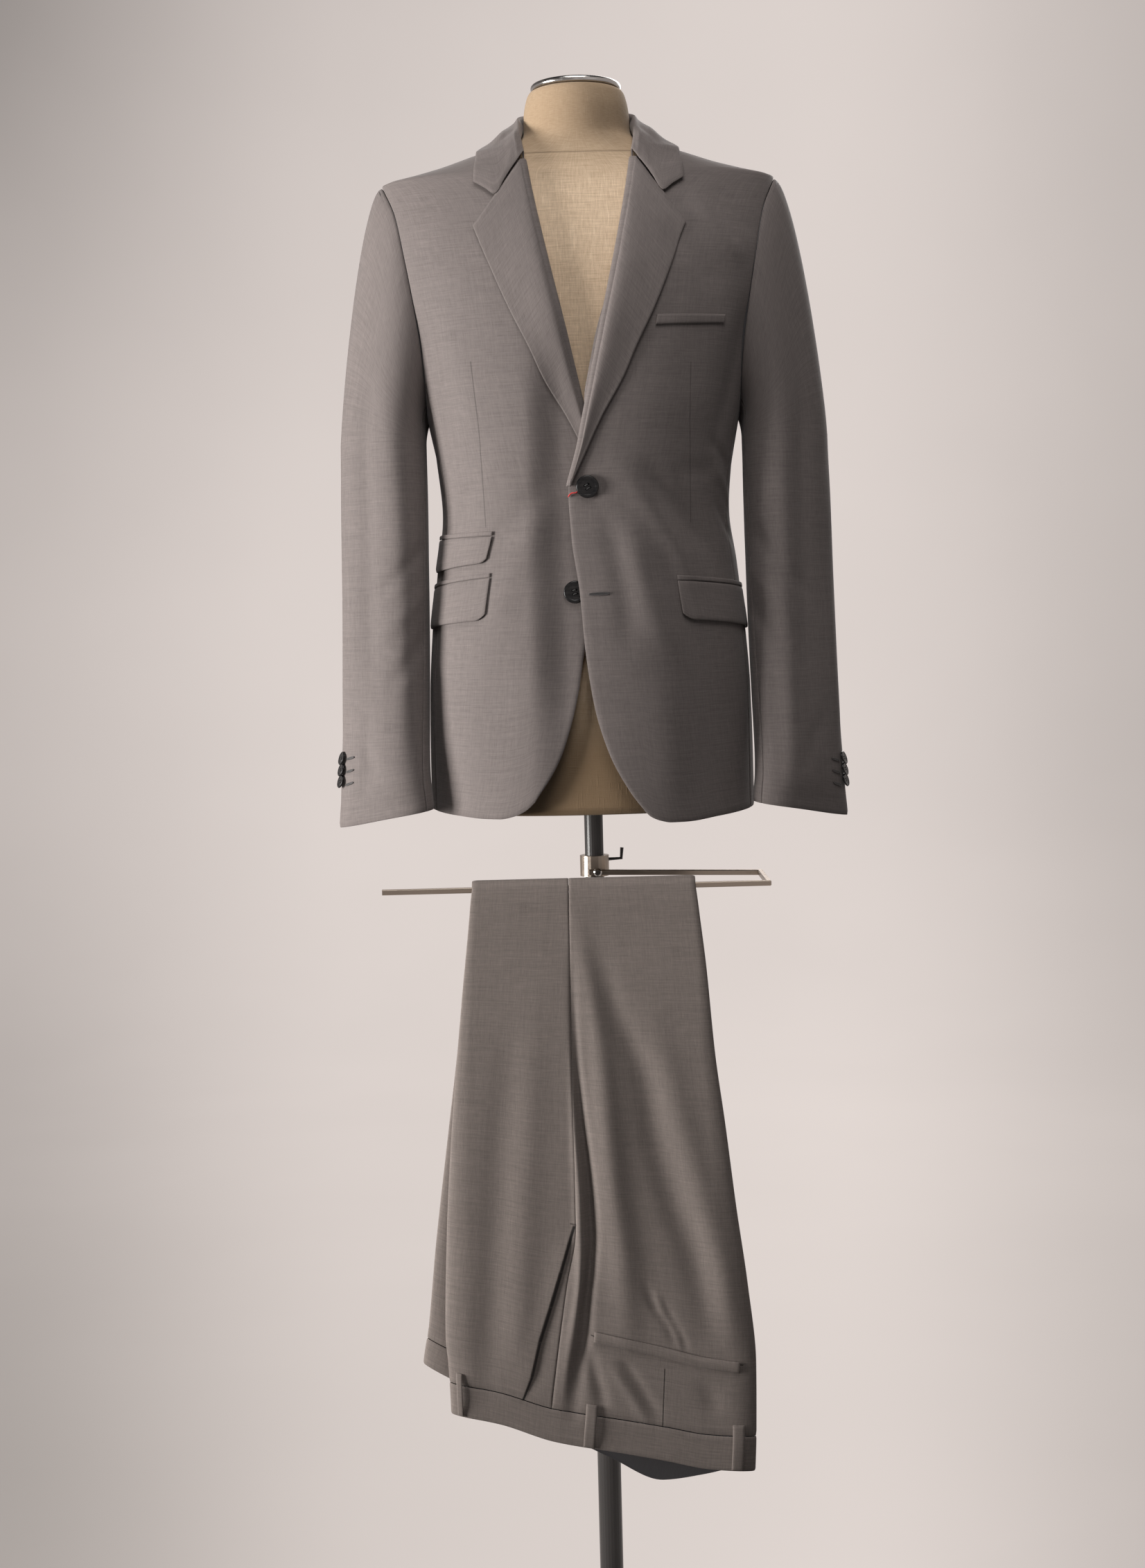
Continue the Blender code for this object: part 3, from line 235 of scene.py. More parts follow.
turn = np.linspace(0, 2 * math.pi, 129)
bend = np.linspace(0, math.pi / 2, 24)
cove_radius = np.concatenate(((0.0, 0.6, 1.6, 2.6), 3.2 + 2.0 * np.sin(bend), (5.2, 5.2)))
cove_height = np.concatenate(((0.0, 0.0, 0.0, 0.0), 2.0 - 2.0 * np.cos(bend), (3.5, 7.0)))
cove_grid = np.stack((cove_radius[:, None] * np.cos(turn), cove_radius[:, None] * np.sin(turn),
                      cove_height[:, None] + 0 * turn), axis=-1)
cove = piece("cove", surface("cove", cove_grid, closed=True, flip=True), cove_finish())
cove.visible_diffuse = cove.visible_shadow = False

# The stand: two steel tubes, one sliding in the other, on a round plate, held by a split ring and a knob.
# Turned and welded steel in satin black powder coat. Its solids have their true shapes and stay.


def powder_coat():
    """Satin black coat: fine orange peel in the bump, a slow drift of gloss, and paler rubbed patches."""
    coat = Finish("satin_black_coat", metallic=0.0, coat_roughness=0.25)
    spot = coat.place()
    peel, drift = coat.noise(spot, 900), coat.noise(spot, 14, 4)
    rub = coat.step(coat.noise(spot, 60, 6, (1, 1, 0.25)), 0.62, 0.78)
    return coat.show(base_color=coat.blend(rub, (0.034, 0.031, 0.030, 1), (0.066, 0.061, 0.058, 1)),
                     roughness=0.26 + drift * 0.22, normal=coat.bump(0.25, 0.0002, peel))


def polished(name, colour, rough, brush):
    """Plated metal: a slow drift of gloss, fine scratches, and a few duller spots."""
    plate = Finish(name, metallic=1.0)
    spot = plate.place()
    lines = plate.noise(spot, 260, 3, brush)
    spots = plate.step(plate.noise(spot, 170, 3), 0.62, 0.74)
    dull = tuple(0.72 * c for c in colour)
    return plate.show(base_color=plate.blend(spots * 0.5, (*colour, 1), (*dull, 1)),
                      roughness=rough + lines * 0.18 + spots * 0.10, normal=plate.bump(0.05, 0.0001, lines))


def refinish(material, *names):
    """Give CAD nodes whose shape is right their finish, in every slot."""
    for name in names:
        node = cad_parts[name]
        if not node.material_slots:
            node.data.materials.append(material)
        for slot in node.material_slots:
            slot.material = material


black_coat = powder_coat()
refinish(black_coat, "base_plate", "lower_tube", "base_socket", "upper_tube", "height_lock_ring",
         "height_lock_knob")

# The dress form: a moulded shell under a tight linen cover, sewn at the neck and closed below the neck cap.
# Smooth all round and clear of the jacket. The cap is a chromed disc pressed on the neck.

SECTION_POWER = 2.3
# Height, half width, front depth and back depth of the form
FORM = np.array((
    (0.9520, 0.1520, 0.106, 0.090), (0.9600, 0.1560, 0.110, 0.094), (1.0000, 0.1570, 0.111, 0.095),
    (1.0800, 0.1550, 0.111, 0.095), (1.1500, 0.1480, 0.106, 0.088), (1.2100, 0.1400, 0.102, 0.081),
    (1.2650, 0.1360, 0.100, 0.078), (1.3200, 0.1430, 0.105, 0.084), (1.3800, 0.1540, 0.112, 0.093),
    (1.4400, 0.1660, 0.115, 0.098), (1.5000, 0.1770, 0.108, 0.097), (1.5500, 0.1840, 0.092, 0.092),
    (1.5850, 0.1860, 0.076, 0.084), (1.6050, 0.1840, 0.067, 0.077), (1.6105, 0.1780, 0.065, 0.075),
    (1.6196, 0.1480, 0.0590, 0.071), (1.6296, 0.1160, 0.0555, 0.067), (1.6360, 0.0945, 0.0530, 0.0640),
    (1.6460, 0.0720, 0.0515, 0.0600), (1.6530, 0.0600, 0.0515, 0.0570), (1.6600, 0.0570, 0.0525, 0.0555),
    (1.6800, 0.0555, 0.0545, 0.0545), (1.6960, 0.0520, 0.0515, 0.0515), (1.7010, 0.0490, 0.0485, 0.0485),
    (1.7025, 0.0460, 0.0455, 0.0455),
))


def smooth(at, table, column=1):
    """A cubic through one column of a table over its first, whose slopes are the harmonic means of the
    steps on both sides, so that it never swings past a row."""
    knots, values = table[:, 0], table[:, column]
    step = np.diff(values) / np.diff(knots)
    slope = np.empty_like(values)
    slope[0], slope[-1] = step[0], step[-1]
    both, total = step[1:] * step[:-1], step[1:] + step[:-1]
    slope[1:-1] = np.where(both > 0, 2 * both / np.where(both > 0, total, 1), 0)
    at = np.clip(at, knots[0], knots[-1])
    i = np.clip(np.searchsorted(knots, at, side="right") - 1, 0, len(knots) - 2)
    width = knots[i + 1] - knots[i]
    t = (at - knots[i]) / width
    rise = values[i] * (1 + 2 * t) * (1 - t) ** 2 + values[i + 1] * t * t * (3 - 2 * t)
    return rise + width * (slope[i] * t * (1 - t) ** 2 + slope[i + 1] * t * t * (t - 1))


def ramp(value, low, high):
    """0 below low, 1 above high, and a soft step between."""
    t = np.clip((np.asarray(value, float) - low) / (high - low), 0, 1)
    return t * t * (3 - 2 * t)


def linen():
    """Coarse plain weave: uneven warp and weft yarns, long slubs both ways, and a slow drift of tone. The
    cover is darker towards its neck, and darker round its foot as painted shade under the jacket. The neck
    seam is a darker line, painted shade in its groove."""
    cover = Finish("natural_linen", specular_ior_level=0.25, sheen_weight=0.10, sheen_roughness=0.5)
    flat, spot = cover.weave(), cover.place()
    warp = cover.noise(flat, 1.0, 2, (1100, 90, 1), 3.0)
    weft = cover.noise(flat, 1.0, 2, (70, 1100, 1), 8.0)
    slub = (cover.step(cover.noise(flat, 1.0, 1, (700, 40, 1), 1.0), 0.60, 0.76)
            + cover.step(cover.noise(flat, 1.0, 1, (36, 800, 1), 5.0), 0.58, 0.74))
    nap = cover.noise(flat, 1.0, 3, (1500, 1500, 1), 2.0)
    drift = cover.noise(spot, 9, 3)
    tone = (0.5 + (warp - 0.5) * 0.7 + (weft - 0.5) * 0.8 + (nap - 0.5) * 0.4 + (drift - 0.5) * 0.4
            + slub * 0.16)
    y, z = cover.axis(spot, 1), cover.axis(spot, 2)
    # The neck seam: a groove in the bump, and a darker line in the colour that is painted shade.
    seam = 1 - cover.step(abs(z - 1.635 - y * 0.0909), 0.0003, 0.0011)
    # Painted shade round the foot, where the jacket hangs over the form; the cover is also darker towards the
    # neck.
    dark_neck_and_painted_foot_shade = cover.step(z, 1.58, 1.67) * 0.66 + (1 - cover.step(z, 1.00, 1.14)) * 0.92
    bump = cover.bump(0.45, 0.0003, warp + weft + slub * 0.7 - seam * 3.0)
    cloth = cover.blend(tone, (0.50, 0.350, 0.225, 1), (0.94, 0.745, 0.540, 1))
    cloth = cover.blend(dark_neck_and_painted_foot_shade, cloth, (0.23, 0.150, 0.080, 1))
    return cover.show(base_color=cover.blend(seam * 0.35, cloth, (0.10, 0.065, 0.035, 1)),
                      roughness=0.78 + nap * 0.15, normal=bump)


def form_ring(angle, height, lift=0.0):
    """The form's outside: at each height a rounded oblong, |x|^p + |y|^p = 1 scaled by the tables."""
    power = 2 / (SECTION_POWER - 0.3 * ramp(height, 1.62, 1.66))
    across, ahead = np.sin(angle), np.cos(angle)
    depth = np.where(ahead > 0, smooth(height, FORM, 2), smooth(height, FORM, 3))
    return np.stack((np.sign(across) * np.abs(across) ** power * (smooth(height, FORM, 1) + lift),
                     -np.sign(ahead) * np.abs(ahead) ** power * (depth + lift), height + 0 * across), axis=-1)


# Rows close together at the neck and foot, a pole at each end, and a shallow sewn groove round the neck
form_rows = np.concatenate((np.linspace(0.952, 0.964, 7), np.linspace(0.970, 1.590, 70),
                            np.linspace(1.593, 1.7025, 74)))[:, None]
form_turn = np.linspace(-math.pi, math.pi, 161)[None]
form_groove = 1.630 + 0.010 * (1 - np.cos(form_turn)) / 2
form_lift = -0.0007 - 0.0006 * np.exp(-((form_rows - form_groove) / 0.0012) ** 2)
form_grid = form_ring(form_turn + 0 * form_rows, form_rows + 0 * form_turn, form_lift)
form_grid = np.concatenate((form_grid[:1] * (0, 0, 1), form_grid, form_grid[-1:] * (0, 0, 1)))
form_flat = np.stack((0.155 * form_turn + 0 * form_rows, form_rows + 0 * form_turn), axis=-1)
form_flat = np.concatenate((form_flat[:1], form_flat, form_flat[-1:]))
piece("form_cover", surface("form_cover", form_grid, form_flat, closed=True), linen(), "figure",
      ("form_body",))


def turned_grid(profile, steps):
    """A profile of (radius, height) rows carried once round Z."""
    radius, height = np.array(profile, float).T[..., None]
    around = np.linspace(0, 2 * math.pi, steps + 1)
    return np.stack((radius * np.cos(around), radius * np.sin(around), height + 0 * around), axis=-1)


chrome = polished("polished_chrome", (0.46, 0.45, 0.44), 0.10, (1, 1, 1))
edge_turn = np.linspace(math.pi / 2, -math.pi / 2, 13)
cap_edge = np.column_stack((0.0442 + 0.0030 * np.cos(edge_turn), 1.70615 + 0.0033 * np.sin(edge_turn)))
cap_profile = np.vstack(((0.0, 1.70945), (0.020, 1.70942), cap_edge, (0.0, 1.70285)))
neck_disc = surface("neck_disc", turned_grid(cap_profile, 96), closed=True)
piece("neck_disc", neck_disc, chrome, "figure", ("neck_cap",))

# The trouser rail: a square nickel-plated bar, bent twice, held by a split collar on the pole with a screw
# in front and a cranked key at the wearer's left. The solids have the real shapes and stay.

nickel = polished("brushed_nickel", (0.33, 0.280, 0.235), 0.24, (0.15, 1, 1))
refinish(nickel, "rail", "rail_clamp")
refinish(chrome, "rail_screw")
refinish(black_coat, "clamp_key")

# The jacket's body: each front, side panel and back is cut from fine wool and sewn to its neighbours in a
# narrow pressed seam. All of them lie on one surface, which is as uneven as cloth over a form is.

WALL = 0.0016
SEAM, SEAM_ANGLE = 0.0004, 0.0004 / 0.30
BODY_RADIUS = 0.150
HEM_LEVEL, HEM_FADE_TOP = 0.955, 1.10
ARMHOLE_CENTRE, ARMHOLE_HALF_HEIGHT = 1.484, 0.124
ARMHOLE_FRONT, ARMHOLE_BACK = 0.062, 0.066
FRONT_SIDE_SEAM, SIDE_BACK_SEAM, SEAM_TOP = math.radians(72), math.radians(116), 1.400
OVERLAP_TUCK = 0.0104

# Height, half width, front depth and back depth of the jacket's outside
TORSO = np.array((
    (0.930, 0.1720, 0.127, 0.106), (1.000, 0.1720, 0.127, 0.107), (1.080, 0.1705, 0.126, 0.105),
    (1.150, 0.1655, 0.124, 0.099), (1.210, 0.1570, 0.121, 0.092), (1.265, 0.1515, 0.119, 0.088),
    (1.320, 0.1570, 0.122, 0.094), (1.380, 0.1675, 0.126, 0.102), (1.440, 0.1810, 0.126, 0.106),
    (1.500, 0.1965, 0.118, 0.105), (1.550, 0.2060, 0.102, 0.100), (1.585, 0.2080, 0.085, 0.092),
    (1.608, 0.2050, 0.075, 0.085), (1.614, 0.1820, 0.072, 0.082), (1.6220, 0.1510, 0.068, 0.078),
    (1.6320, 0.1200, 0.064, 0.073), (1.6385, 0.1000, 0.061, 0.070), (1.656, 0.0660, 0.058, 0.066),
    (1.668, 0.0550, 0.050, 0.058), (1.700, 0.0480, 0.045, 0.050),
))
# Height and x of each front's edge, from the corner of the hem, up past the break, along the roll
LEFT_EDGE = np.array((
    (0.9555, 0.0520), (0.976, 0.0370), (1.015, 0.0168), (1.064, 0.0027), (1.120, -0.0050),
    (1.182, -0.0096), (1.231, -0.0160), (1.282, -0.0184), (1.326, -0.0055), (1.353, 0.0003),
    (1.436, 0.0185), (1.528, 0.0390), (1.589, 0.0510), (1.6226, 0.0612), (1.638, 0.0655), (1.656, 0.0655),
))
RIGHT_EDGE = np.array((
    (0.9680, -0.0600), (0.9987, -0.0394), (1.023, -0.0283), (1.0785, -0.0129), (1.1165, -0.0064),
    (1.165, 0.0075), (1.200, 0.0140), (1.282, 0.0184), (1.326, 0.0055), (1.353, -0.0003),
    (1.436, -0.0185), (1.528, -0.0390), (1.589, -0.0510), (1.6226, -0.0612), (1.638, -0.0655),
    (1.656, -0.0655),
))
# Angle round the body in degrees and height of the hem, from the front corner to the middle of the back
LEFT_HEM = np.array((
    (14.6, 0.9555), (16.5, 0.9502), (20.0, 0.9457), (24.0, 0.9435), (29.5, 0.9434),
    (46.0, 0.9470), (76.0, 0.9510), (116.0, 0.9530), (180.0, 0.9530),
))
RIGHT_HEM = np.array((
    (17.3, 0.9680), (20.3, 0.9600), (25.6, 0.9530), (31.2, 0.9504), (37.5, 0.9506),
    (52.7, 0.9530), (80.0, 0.9560), (116.0, 0.9550), (180.0, 0.9530),
))
# Soft creases of the body: angle and height at one end and the other, sideways bend in degrees, half width
# and depth (out is +). Angle 0 is the front, 90 the wearer's left side
BODY_CREASES = np.array((
    (9, 1.302, 41, 1.178, 3, 0.0120, 0.0024), (19, 1.310, 52, 1.214, -2, 0.0130, -0.0030),
    (4, 1.265, 11, 1.120, 2, 0.0100, -0.0016), (14, 1.250, 25, 1.110, -2, 0.0120, 0.0020),
    (24, 1.225, 37, 1.110, 1, 0.0110, -0.0019), (61, 1.475, 57, 1.335, 3, 0.0150, -0.0028),
    (48, 1.460, 44, 1.345, -2, 0.0180, 0.0016), (36, 1.130, 39, 0.960, 0, 0.0250, -0.0017),
    (20, 1.090, 25, 0.960, 2, 0.0200, 0.0013), (33, 1.300, 56, 1.300, 3, 0.0110, -0.0012),
    (52, 1.190, 66, 1.020, 2, 0.0200, 0.0014), (30, 1.576, 54, 1.513, -2, 0.0095, 0.0026),
    (20, 1.548, 44, 1.478, 2, 0.0130, -0.0022), (39, 1.592, 60, 1.540, -2, 0.0090, -0.0016),
    (50, 1.334, 70, 1.306, 0, 0.0060, -0.0014), (56, 1.303, 80, 1.264, 2, 0.0060, 0.0013),
    (58, 1.272, 82, 1.228, -2, 0.0065, -0.0015),
    (-10, 1.300, -40, 1.222, 2, 0.0140, -0.0013), (-12, 1.268, -33, 1.140, -2, 0.0160, 0.0011),
    (-59, 1.475, -54, 1.335, -3, 0.0150, -0.0024), (-46, 1.455, -43, 1.345, 2, 0.0180, 0.0013),
    (-30, 1.120, -34, 0.960, 0, 0.0260, -0.0014), (-50, 1.290, -64, 1.230, 2, 0.0120, -0.0012),
    (-52, 1.190, -58, 1.010, 0, 0.0220, 0.0012),
    (80, 1.340, 97, 1.205, 3, 0.0120, -0.0022), (101, 1.310, 84, 1.180, 0, 0.0130, 0.0016),
    (90, 1.160, 94, 0.970, 3, 0.0220, -0.0016), (-83, 1.345, -98, 1.215, -3, 0.0120, -0.0020),
    (-102, 1.300, -86, 1.185, 0, 0.0140, 0.0015), (-92, 1.150, -95, 0.970, -2, 0.0220, -0.0014),
    (168, 1.570, 141, 1.490, 3, 0.0140, -0.0014), (-166, 1.565, -140, 1.480, -3, 0.0140, -0.0013),
    (171, 1.305, 130, 1.240, 3, 0.0140, -0.0020), (150, 1.335, 176, 1.205, -2, 0.0150, 0.0014),
    (-172, 1.295, -128, 1.232, -3, 0.0140, -0.0018), (-146, 1.340, -175, 1.220, 2, 0.0150, 0.0012),
    (151, 1.150, 148, 0.965, 2, 0.0220, -0.0018), (-147, 1.140, -151, 0.965, -2, 0.0220, -0.0016),
    (119, 1.485, 125, 1.355, 2, 0.0140, -0.0022), (-119, 1.478, -125, 1.350, -2, 0.0140, -0.0024),
    (135, 1.460, 139, 1.340, -2, 0.0180, 0.0013), (-136, 1.455, -140, 1.345, 2, 0.0180, 0.0012),
    (128, 1.180, 122, 1.000, 0, 0.0200, 0.0014), (-127, 1.175, -120, 1.010, 0, 0.0200, 0.0013),
))


def creases(angle, height, table, radius):
    """How far cloth stands out of its smooth form: each crease is a bell, depth e^-(d/width)^2, over the
    distance d from a line between two points that bows sideways, and fades in and out along its length."""
    first, top, last, foot, bow, reach, depth = (c[(...,) + (None,) * np.ndim(angle)] for c in table.T)
    metre = math.radians(1) * radius
    along = np.stack(np.broadcast_arrays((last - first) * metre, foot - top), axis=-1)
    span = np.sum(along ** 2, axis=-1)
    away = (np.degrees(angle)[None] - first + 180) % 360 - 180
    t = (away * metre * along[..., 0] + (height - top) * along[..., 1]) / span
    bowed = away - bow * 4 * t * (1 - t)
    side = (bowed * metre * along[..., 1] - (height - top) * along[..., 0]) / np.sqrt(span)
    fade = ramp(t, -0.12, 0.28) * (1 - ramp(t, 0.72, 1.12))
    return np.sum(depth * fade * np.exp(-(side / reach) ** 2), axis=0)


def torso_point(angle, height, lift=0.0):
    """The jacket's outside: at each height a rounded oblong from the tables, moved out by its creases."""
    angle, height = np.broadcast_arrays(np.asarray(angle, float), np.asarray(height, float))
    across, ahead = np.sin(angle), np.cos(angle)
    power = 2 / SECTION_POWER
    out = lift + creases(angle, height, BODY_CREASES, BODY_RADIUS)
    depth = np.where(ahead > 0, smooth(height, TORSO, 2), smooth(height, TORSO, 3)) + out
    x = np.sign(across) * np.abs(across) ** power * (smooth(height, TORSO, 1) + out)
    return np.stack((x, -np.sign(ahead) * np.abs(ahead) ** power * depth, height), axis=-1)


def angle_at_x(x, height):
    """The angle of the point of the front that has this x."""
    share = np.clip(np.abs(x) / smooth(height, TORSO, 1), 0, 1)
    return np.sign(x) * np.arcsin(share ** (SECTION_POWER / 2))


def panel_end(height, back):
    """The angle where a front or back ends: its side seam, the armhole's oval, then the shoulder seam."""
    seam = SIDE_BACK_SEAM + SEAM_ANGLE if back else FRONT_SIDE_SEAM - SEAM_ANGLE
    oval = np.sqrt(np.maximum(0, 1 - ((height - ARMHOLE_CENTRE) / ARMHOLE_HALF_HEIGHT) ** 2))
    y = np.maximum((ARMHOLE_BACK if back else ARMHOLE_FRONT) * oval, SEAM * 0.7)
    off = np.arccos(np.minimum(1, (y / smooth(height, TORSO, 3 if back else 2)) ** (SECTION_POWER / 2)))
    return np.where(height <= SEAM_TOP, seam, math.pi - off if back else off)


def hem_fade(height):
    return np.clip((HEM_FADE_TOP - height) / (HEM_FADE_TOP - HEM_LEVEL), 0, 1)


def hang(angle, row, hem):
    """The height of a point of a row, which follows the hem near the bottom."""
    return row + (smooth(np.degrees(np.abs(angle)), hem) - HEM_LEVEL) * hem_fade(row)


def under_tuck(x, z):
    """How far the wearer's right front lies behind the surface where the left one covers it."""
    low = 0.45 + 0.55 * ramp(z, 1.02, 1.12)
    return OVERLAP_TUCK * ramp(x, -0.062, -0.022) * (1 - ramp(z, 1.36, 1.46)) * low


def turned_edges(grid, depth=0.0006, reach=0.0022):
    """The grid with each outer edge rolled a little inwards, as a pressed seam or a turned hem is: a point
    at distance d from the nearest edge moves in by depth (1 - d/reach)^2 along the surface's normal."""
    along, up = np.gradient(grid, axis=1), np.gradient(grid, axis=0)
    normal = np.cross(along, up)
    normal /= np.maximum(np.linalg.norm(normal, axis=-1), 1e-12)[..., None]
    across = np.cumsum(np.linalg.norm(np.diff(grid, axis=1, prepend=grid[:, :1]), axis=-1), axis=1)
    down = np.cumsum(np.linalg.norm(np.diff(grid, axis=0, prepend=grid[:1]), axis=-1), axis=0)
    near = np.minimum(np.minimum(across, across[:, -1:] - across), np.minimum(down, down[-1:] - down))
    return grid - normal * (depth * np.clip(1 - near / reach, 0, 1) ** 2)[..., None]


def crowd(count, ends=0.35):
    """Shares from 0 to 1 that stand closer together at both ends."""
    t = np.linspace(0, 1, count)
    return (1 - ends) * t + ends * (1 - np.cos(math.pi * t)) / 2


def flat_of(grid):
    """Each point's place on the flat cloth in metres: its distance along the row from the middle column, so
    that the grain runs straight down it, and along the middle column from the first row."""
    across = np.cumsum(np.linalg.norm(np.diff(grid, axis=1, prepend=grid[:, :1]), axis=-1), axis=1)
    across = across - across[:, grid.shape[1] // 2, None]
    middle = grid[:, grid.shape[1] // 2]
    down = np.cumsum(np.linalg.norm(np.diff(middle, axis=0, prepend=middle[:1]), axis=-1))
    return np.stack((across, down[:, None] + 0 * across), axis=-1)


def cut_cloth(name, grid, finish, nodes, flip=False, wall=WALL, lined=None, body="figure"):
    """A cut piece of cloth: the grid's surface with its wall inwards from Solidify and its edges rounded by
    Bevel. lined gives the inside a lining."""
    obj = piece(name, surface(name, grid, flat_of(grid), flip), finish, body, nodes)
    shell = obj.modifiers.new("wall", "SOLIDIFY")
    shell.thickness, shell.offset = wall, -1
    if lined:
        obj.data.materials.append(lined)
        shell.material_offset = 1
    edge = obj.modifiers.new("turned_edge", "BEVEL")
    edge.width, edge.segments, edge.limit_method, edge.angle_limit = wall * 0.3, 2, "ANGLE", math.radians(60)
    return obj


def sew(name, grid, finish, nodes, held, rests_on, with_pieces=(), **cut):
    """A piece of cloth cut from the grid. with_pieces, the narrow pieces sewn on it, is not used."""
    obj = cut_cloth(name, grid, finish, nodes, **cut)
    cell = np.cross(grid[1:, 1:] - grid[:-1, :-1], grid[1:, :-1] - grid[:-1, 1:])


def suiting(name, ground, grooves=()):
    """Fine wool: uneven yarns and slubs along warp and weft, a slow drift of tone and a faint bloom.
    grooves are sewn or open lines, (x, z) to (x, z) with a half width and how dark the line is; the dark is
    painted shade in the seam or opening, and the line is also sunk in the bump."""
    wool = Finish(name, specular_ior_level=0.28, sheen_weight=0.14, sheen_roughness=0.42)
    flat, place = wool.weave(), wool.place()
    warp = wool.noise(flat, 1.0, 2, (1700, 110, 1), 3.0)
    weft = wool.noise(flat, 1.0, 2, (75, 1700, 1), 8.0)
    long_warp = wool.noise(flat, 1.0, 2, (640, 22, 1), 1.0)
    long_weft = wool.noise(flat, 1.0, 2, (16, 620, 1), 5.0)
    nap = wool.noise(flat, 1.0, 3, (2600, 2600, 1), 2.0)
    drift = wool.noise(place, 6, 3)
    tone = (0.5 + (warp - 0.5) * 0.62 + (weft - 0.5) * 0.70 + (long_warp - 0.5) * 0.34
            + (long_weft - 0.5) * 0.52 + (nap - 0.5) * 0.45 + (drift - 0.5) * 0.22)
    height = warp + weft + nap * 0.5
    colour = wool.blend(tone, (*(0.62 * c for c in ground), 1), (*(1.40 * c for c in ground), 1))
    if grooves:
        x, z = wool.axis(place, 0), wool.axis(place, 2)
        sunk = None
        for x0, z0, x1, z1, half, shade in grooves:
            span = math.hypot(x1 - x0, z1 - z0)
            ux, uz = (x1 - x0) / span, (z1 - z0) / span
            along = (x - x0) * ux + (z - z0) * uz
            off = abs((x - x0) * uz - (z - z0) * ux)
            over = wool.step(along, span - half * 0.5, span + half)
            inside = wool.step(along, -half, half * 0.5) * (1 - over)
            painted_groove_shade = (1 - wool.step(off, half * 0.3, half)) * inside * shade
            sunk = painted_groove_shade if sunk is None else sunk.at_least(painted_groove_shade)
        # Painted shade: along each groove the colour goes nearly black.
        colour = wool.blend(sunk, colour, (*(0.05 * c for c in ground), 1))
        height = height - sunk * 5.0
    return wool.show(base_color=colour, roughness=0.70 + nap * 0.14 + (weft - 0.5) * 0.2,
                     normal=wool.bump(0.30, 0.00018, height))


def satin(name, ground):
    """Lining: close twill satin, with fine ribs on the bias and a soft gloss."""
    silk = Finish(name, specular_ior_level=0.5, sheen_weight=0.05)
    flat = silk.weave()
    ribs = silk.noise(flat, 1.0, 1, (1800, 260, 1), 4.0)
    drift = silk.noise(flat, 1.0, 3, (40, 40, 1), 1.0)
    colour = silk.blend(ribs, (*(0.7 * c for c in ground), 1), (*(1.3 * c for c in ground), 1))
    return silk.show(base_color=colour, roughness=0.30 + drift * 0.25, normal=silk.bump(0.2, 0.0001, ribs))


WOOL = (0.180, 0.155, 0.148)
jacket_wool = suiting("jacket_wool", WOOL)
# The fronts' darts: dark lines of painted shade along each seam.
front_wool = suiting("front_wool", WOOL, grooves=(
    (-0.1134, 1.4140, -0.1070, 1.3445, 0.0008, 0.38), (-0.1070, 1.3445, -0.1030, 1.2480, 0.0008, 0.38),
    (0.1086, 1.4080, 0.1067, 1.3529, 0.0008, 0.38), (0.1067, 1.3529, 0.1058, 1.2480, 0.0008, 0.38)))
dark_lining = satin("dark_lining", (0.022, 0.022, 0.026))
BODY_ROWS = np.concatenate((np.linspace(0.955, 1.400, 108), np.linspace(1.4038, 1.600, 52),
                            np.linspace(1.6022, 1.656, 28)))[:, None]


def front_panel(side, edge, hem, columns=64):
    """A front from its edge (column 0) to the side seam, armhole and shoulder."""
    start_height = np.maximum(edge[0, 0], BODY_ROWS + (edge[0, 0] - HEM_LEVEL) * hem_fade(BODY_ROWS))
    start = side * angle_at_x(smooth(start_height, edge), start_height)
    angles = start + (panel_end(BODY_ROWS, False) - start) * crowd(columns)
    heights = hang(np.maximum(angles, math.radians(hem[0, 0])), BODY_ROWS, hem)
    grid = torso_point(side * angles, heights)
    if side < 0:
        grid[..., 1] += under_tuck(grid[..., 0], grid[..., 2])
    return turned_edges(grid) if side > 0 else turned_edges(grid, -0.0006)


def side_panel(side, hem, columns=30):
    """The panel under the arm, whose top follows the foot of the armhole."""
    angles = (FRONT_SIDE_SEAM + SEAM_ANGLE
              + (SIDE_BACK_SEAM - FRONT_SIDE_SEAM - 2 * SEAM_ANGLE) * crowd(columns))
    y = torso_point(angles, 1.375)[:, 1]
    oval = np.sqrt(1 - np.minimum(1, (y / np.where(y < 0, ARMHOLE_FRONT, ARMHOLE_BACK)) ** 2))
    tops = ARMHOLE_CENTRE - ARMHOLE_HALF_HEIGHT * oval
    rows = BODY_ROWS[BODY_ROWS[:, 0] <= SEAM_TOP]
    heights = hang(angles, rows, hem) + ramp(rows, 1.235, SEAM_TOP) * (tops - SEAM_TOP)
    return turned_edges(torso_point(side * angles + 0 * rows, heights), 0.0006 * side)


def back_panel(side, hem, columns=64):
    """A back from the middle seam (column 0) to the side seam, armhole and shoulder."""
    middle = math.pi - SEAM / 0.18
    angles = middle + (panel_end(BODY_ROWS, True) - middle) * crowd(columns)
    return turned_edges(torso_point(side * angles, hang(angles, BODY_ROWS, hem)), -0.0006 * side)


for side, hand, edge, hem in ((1, "left", LEFT_EDGE, LEFT_HEM), (-1, "right", RIGHT_EDGE, RIGHT_HEM)):
    sew(f"{hand}_front_cloth", front_panel(side, edge, hem), front_wool, (f"{hand}_front",), "hung",
        ("form_cover",), flip=side < 0)
    sew(f"{hand}_side_cloth", side_panel(side, hem), jacket_wool, (f"{hand}_side_panel",), "hung",
        (f"{hand}_front_cloth",), flip=side < 0, lined=dark_lining)
    sew(f"{hand}_back_cloth", back_panel(side, hem), jacket_wool, (f"{hand}_back",), "hung", ("form_cover",),
        flip=side > 0, lined=dark_lining)

# The vent: the left back carries on under the right one, below the top of the slit, as a strip of the same
# wool and lining. It hangs free, a little behind the right back's edge.

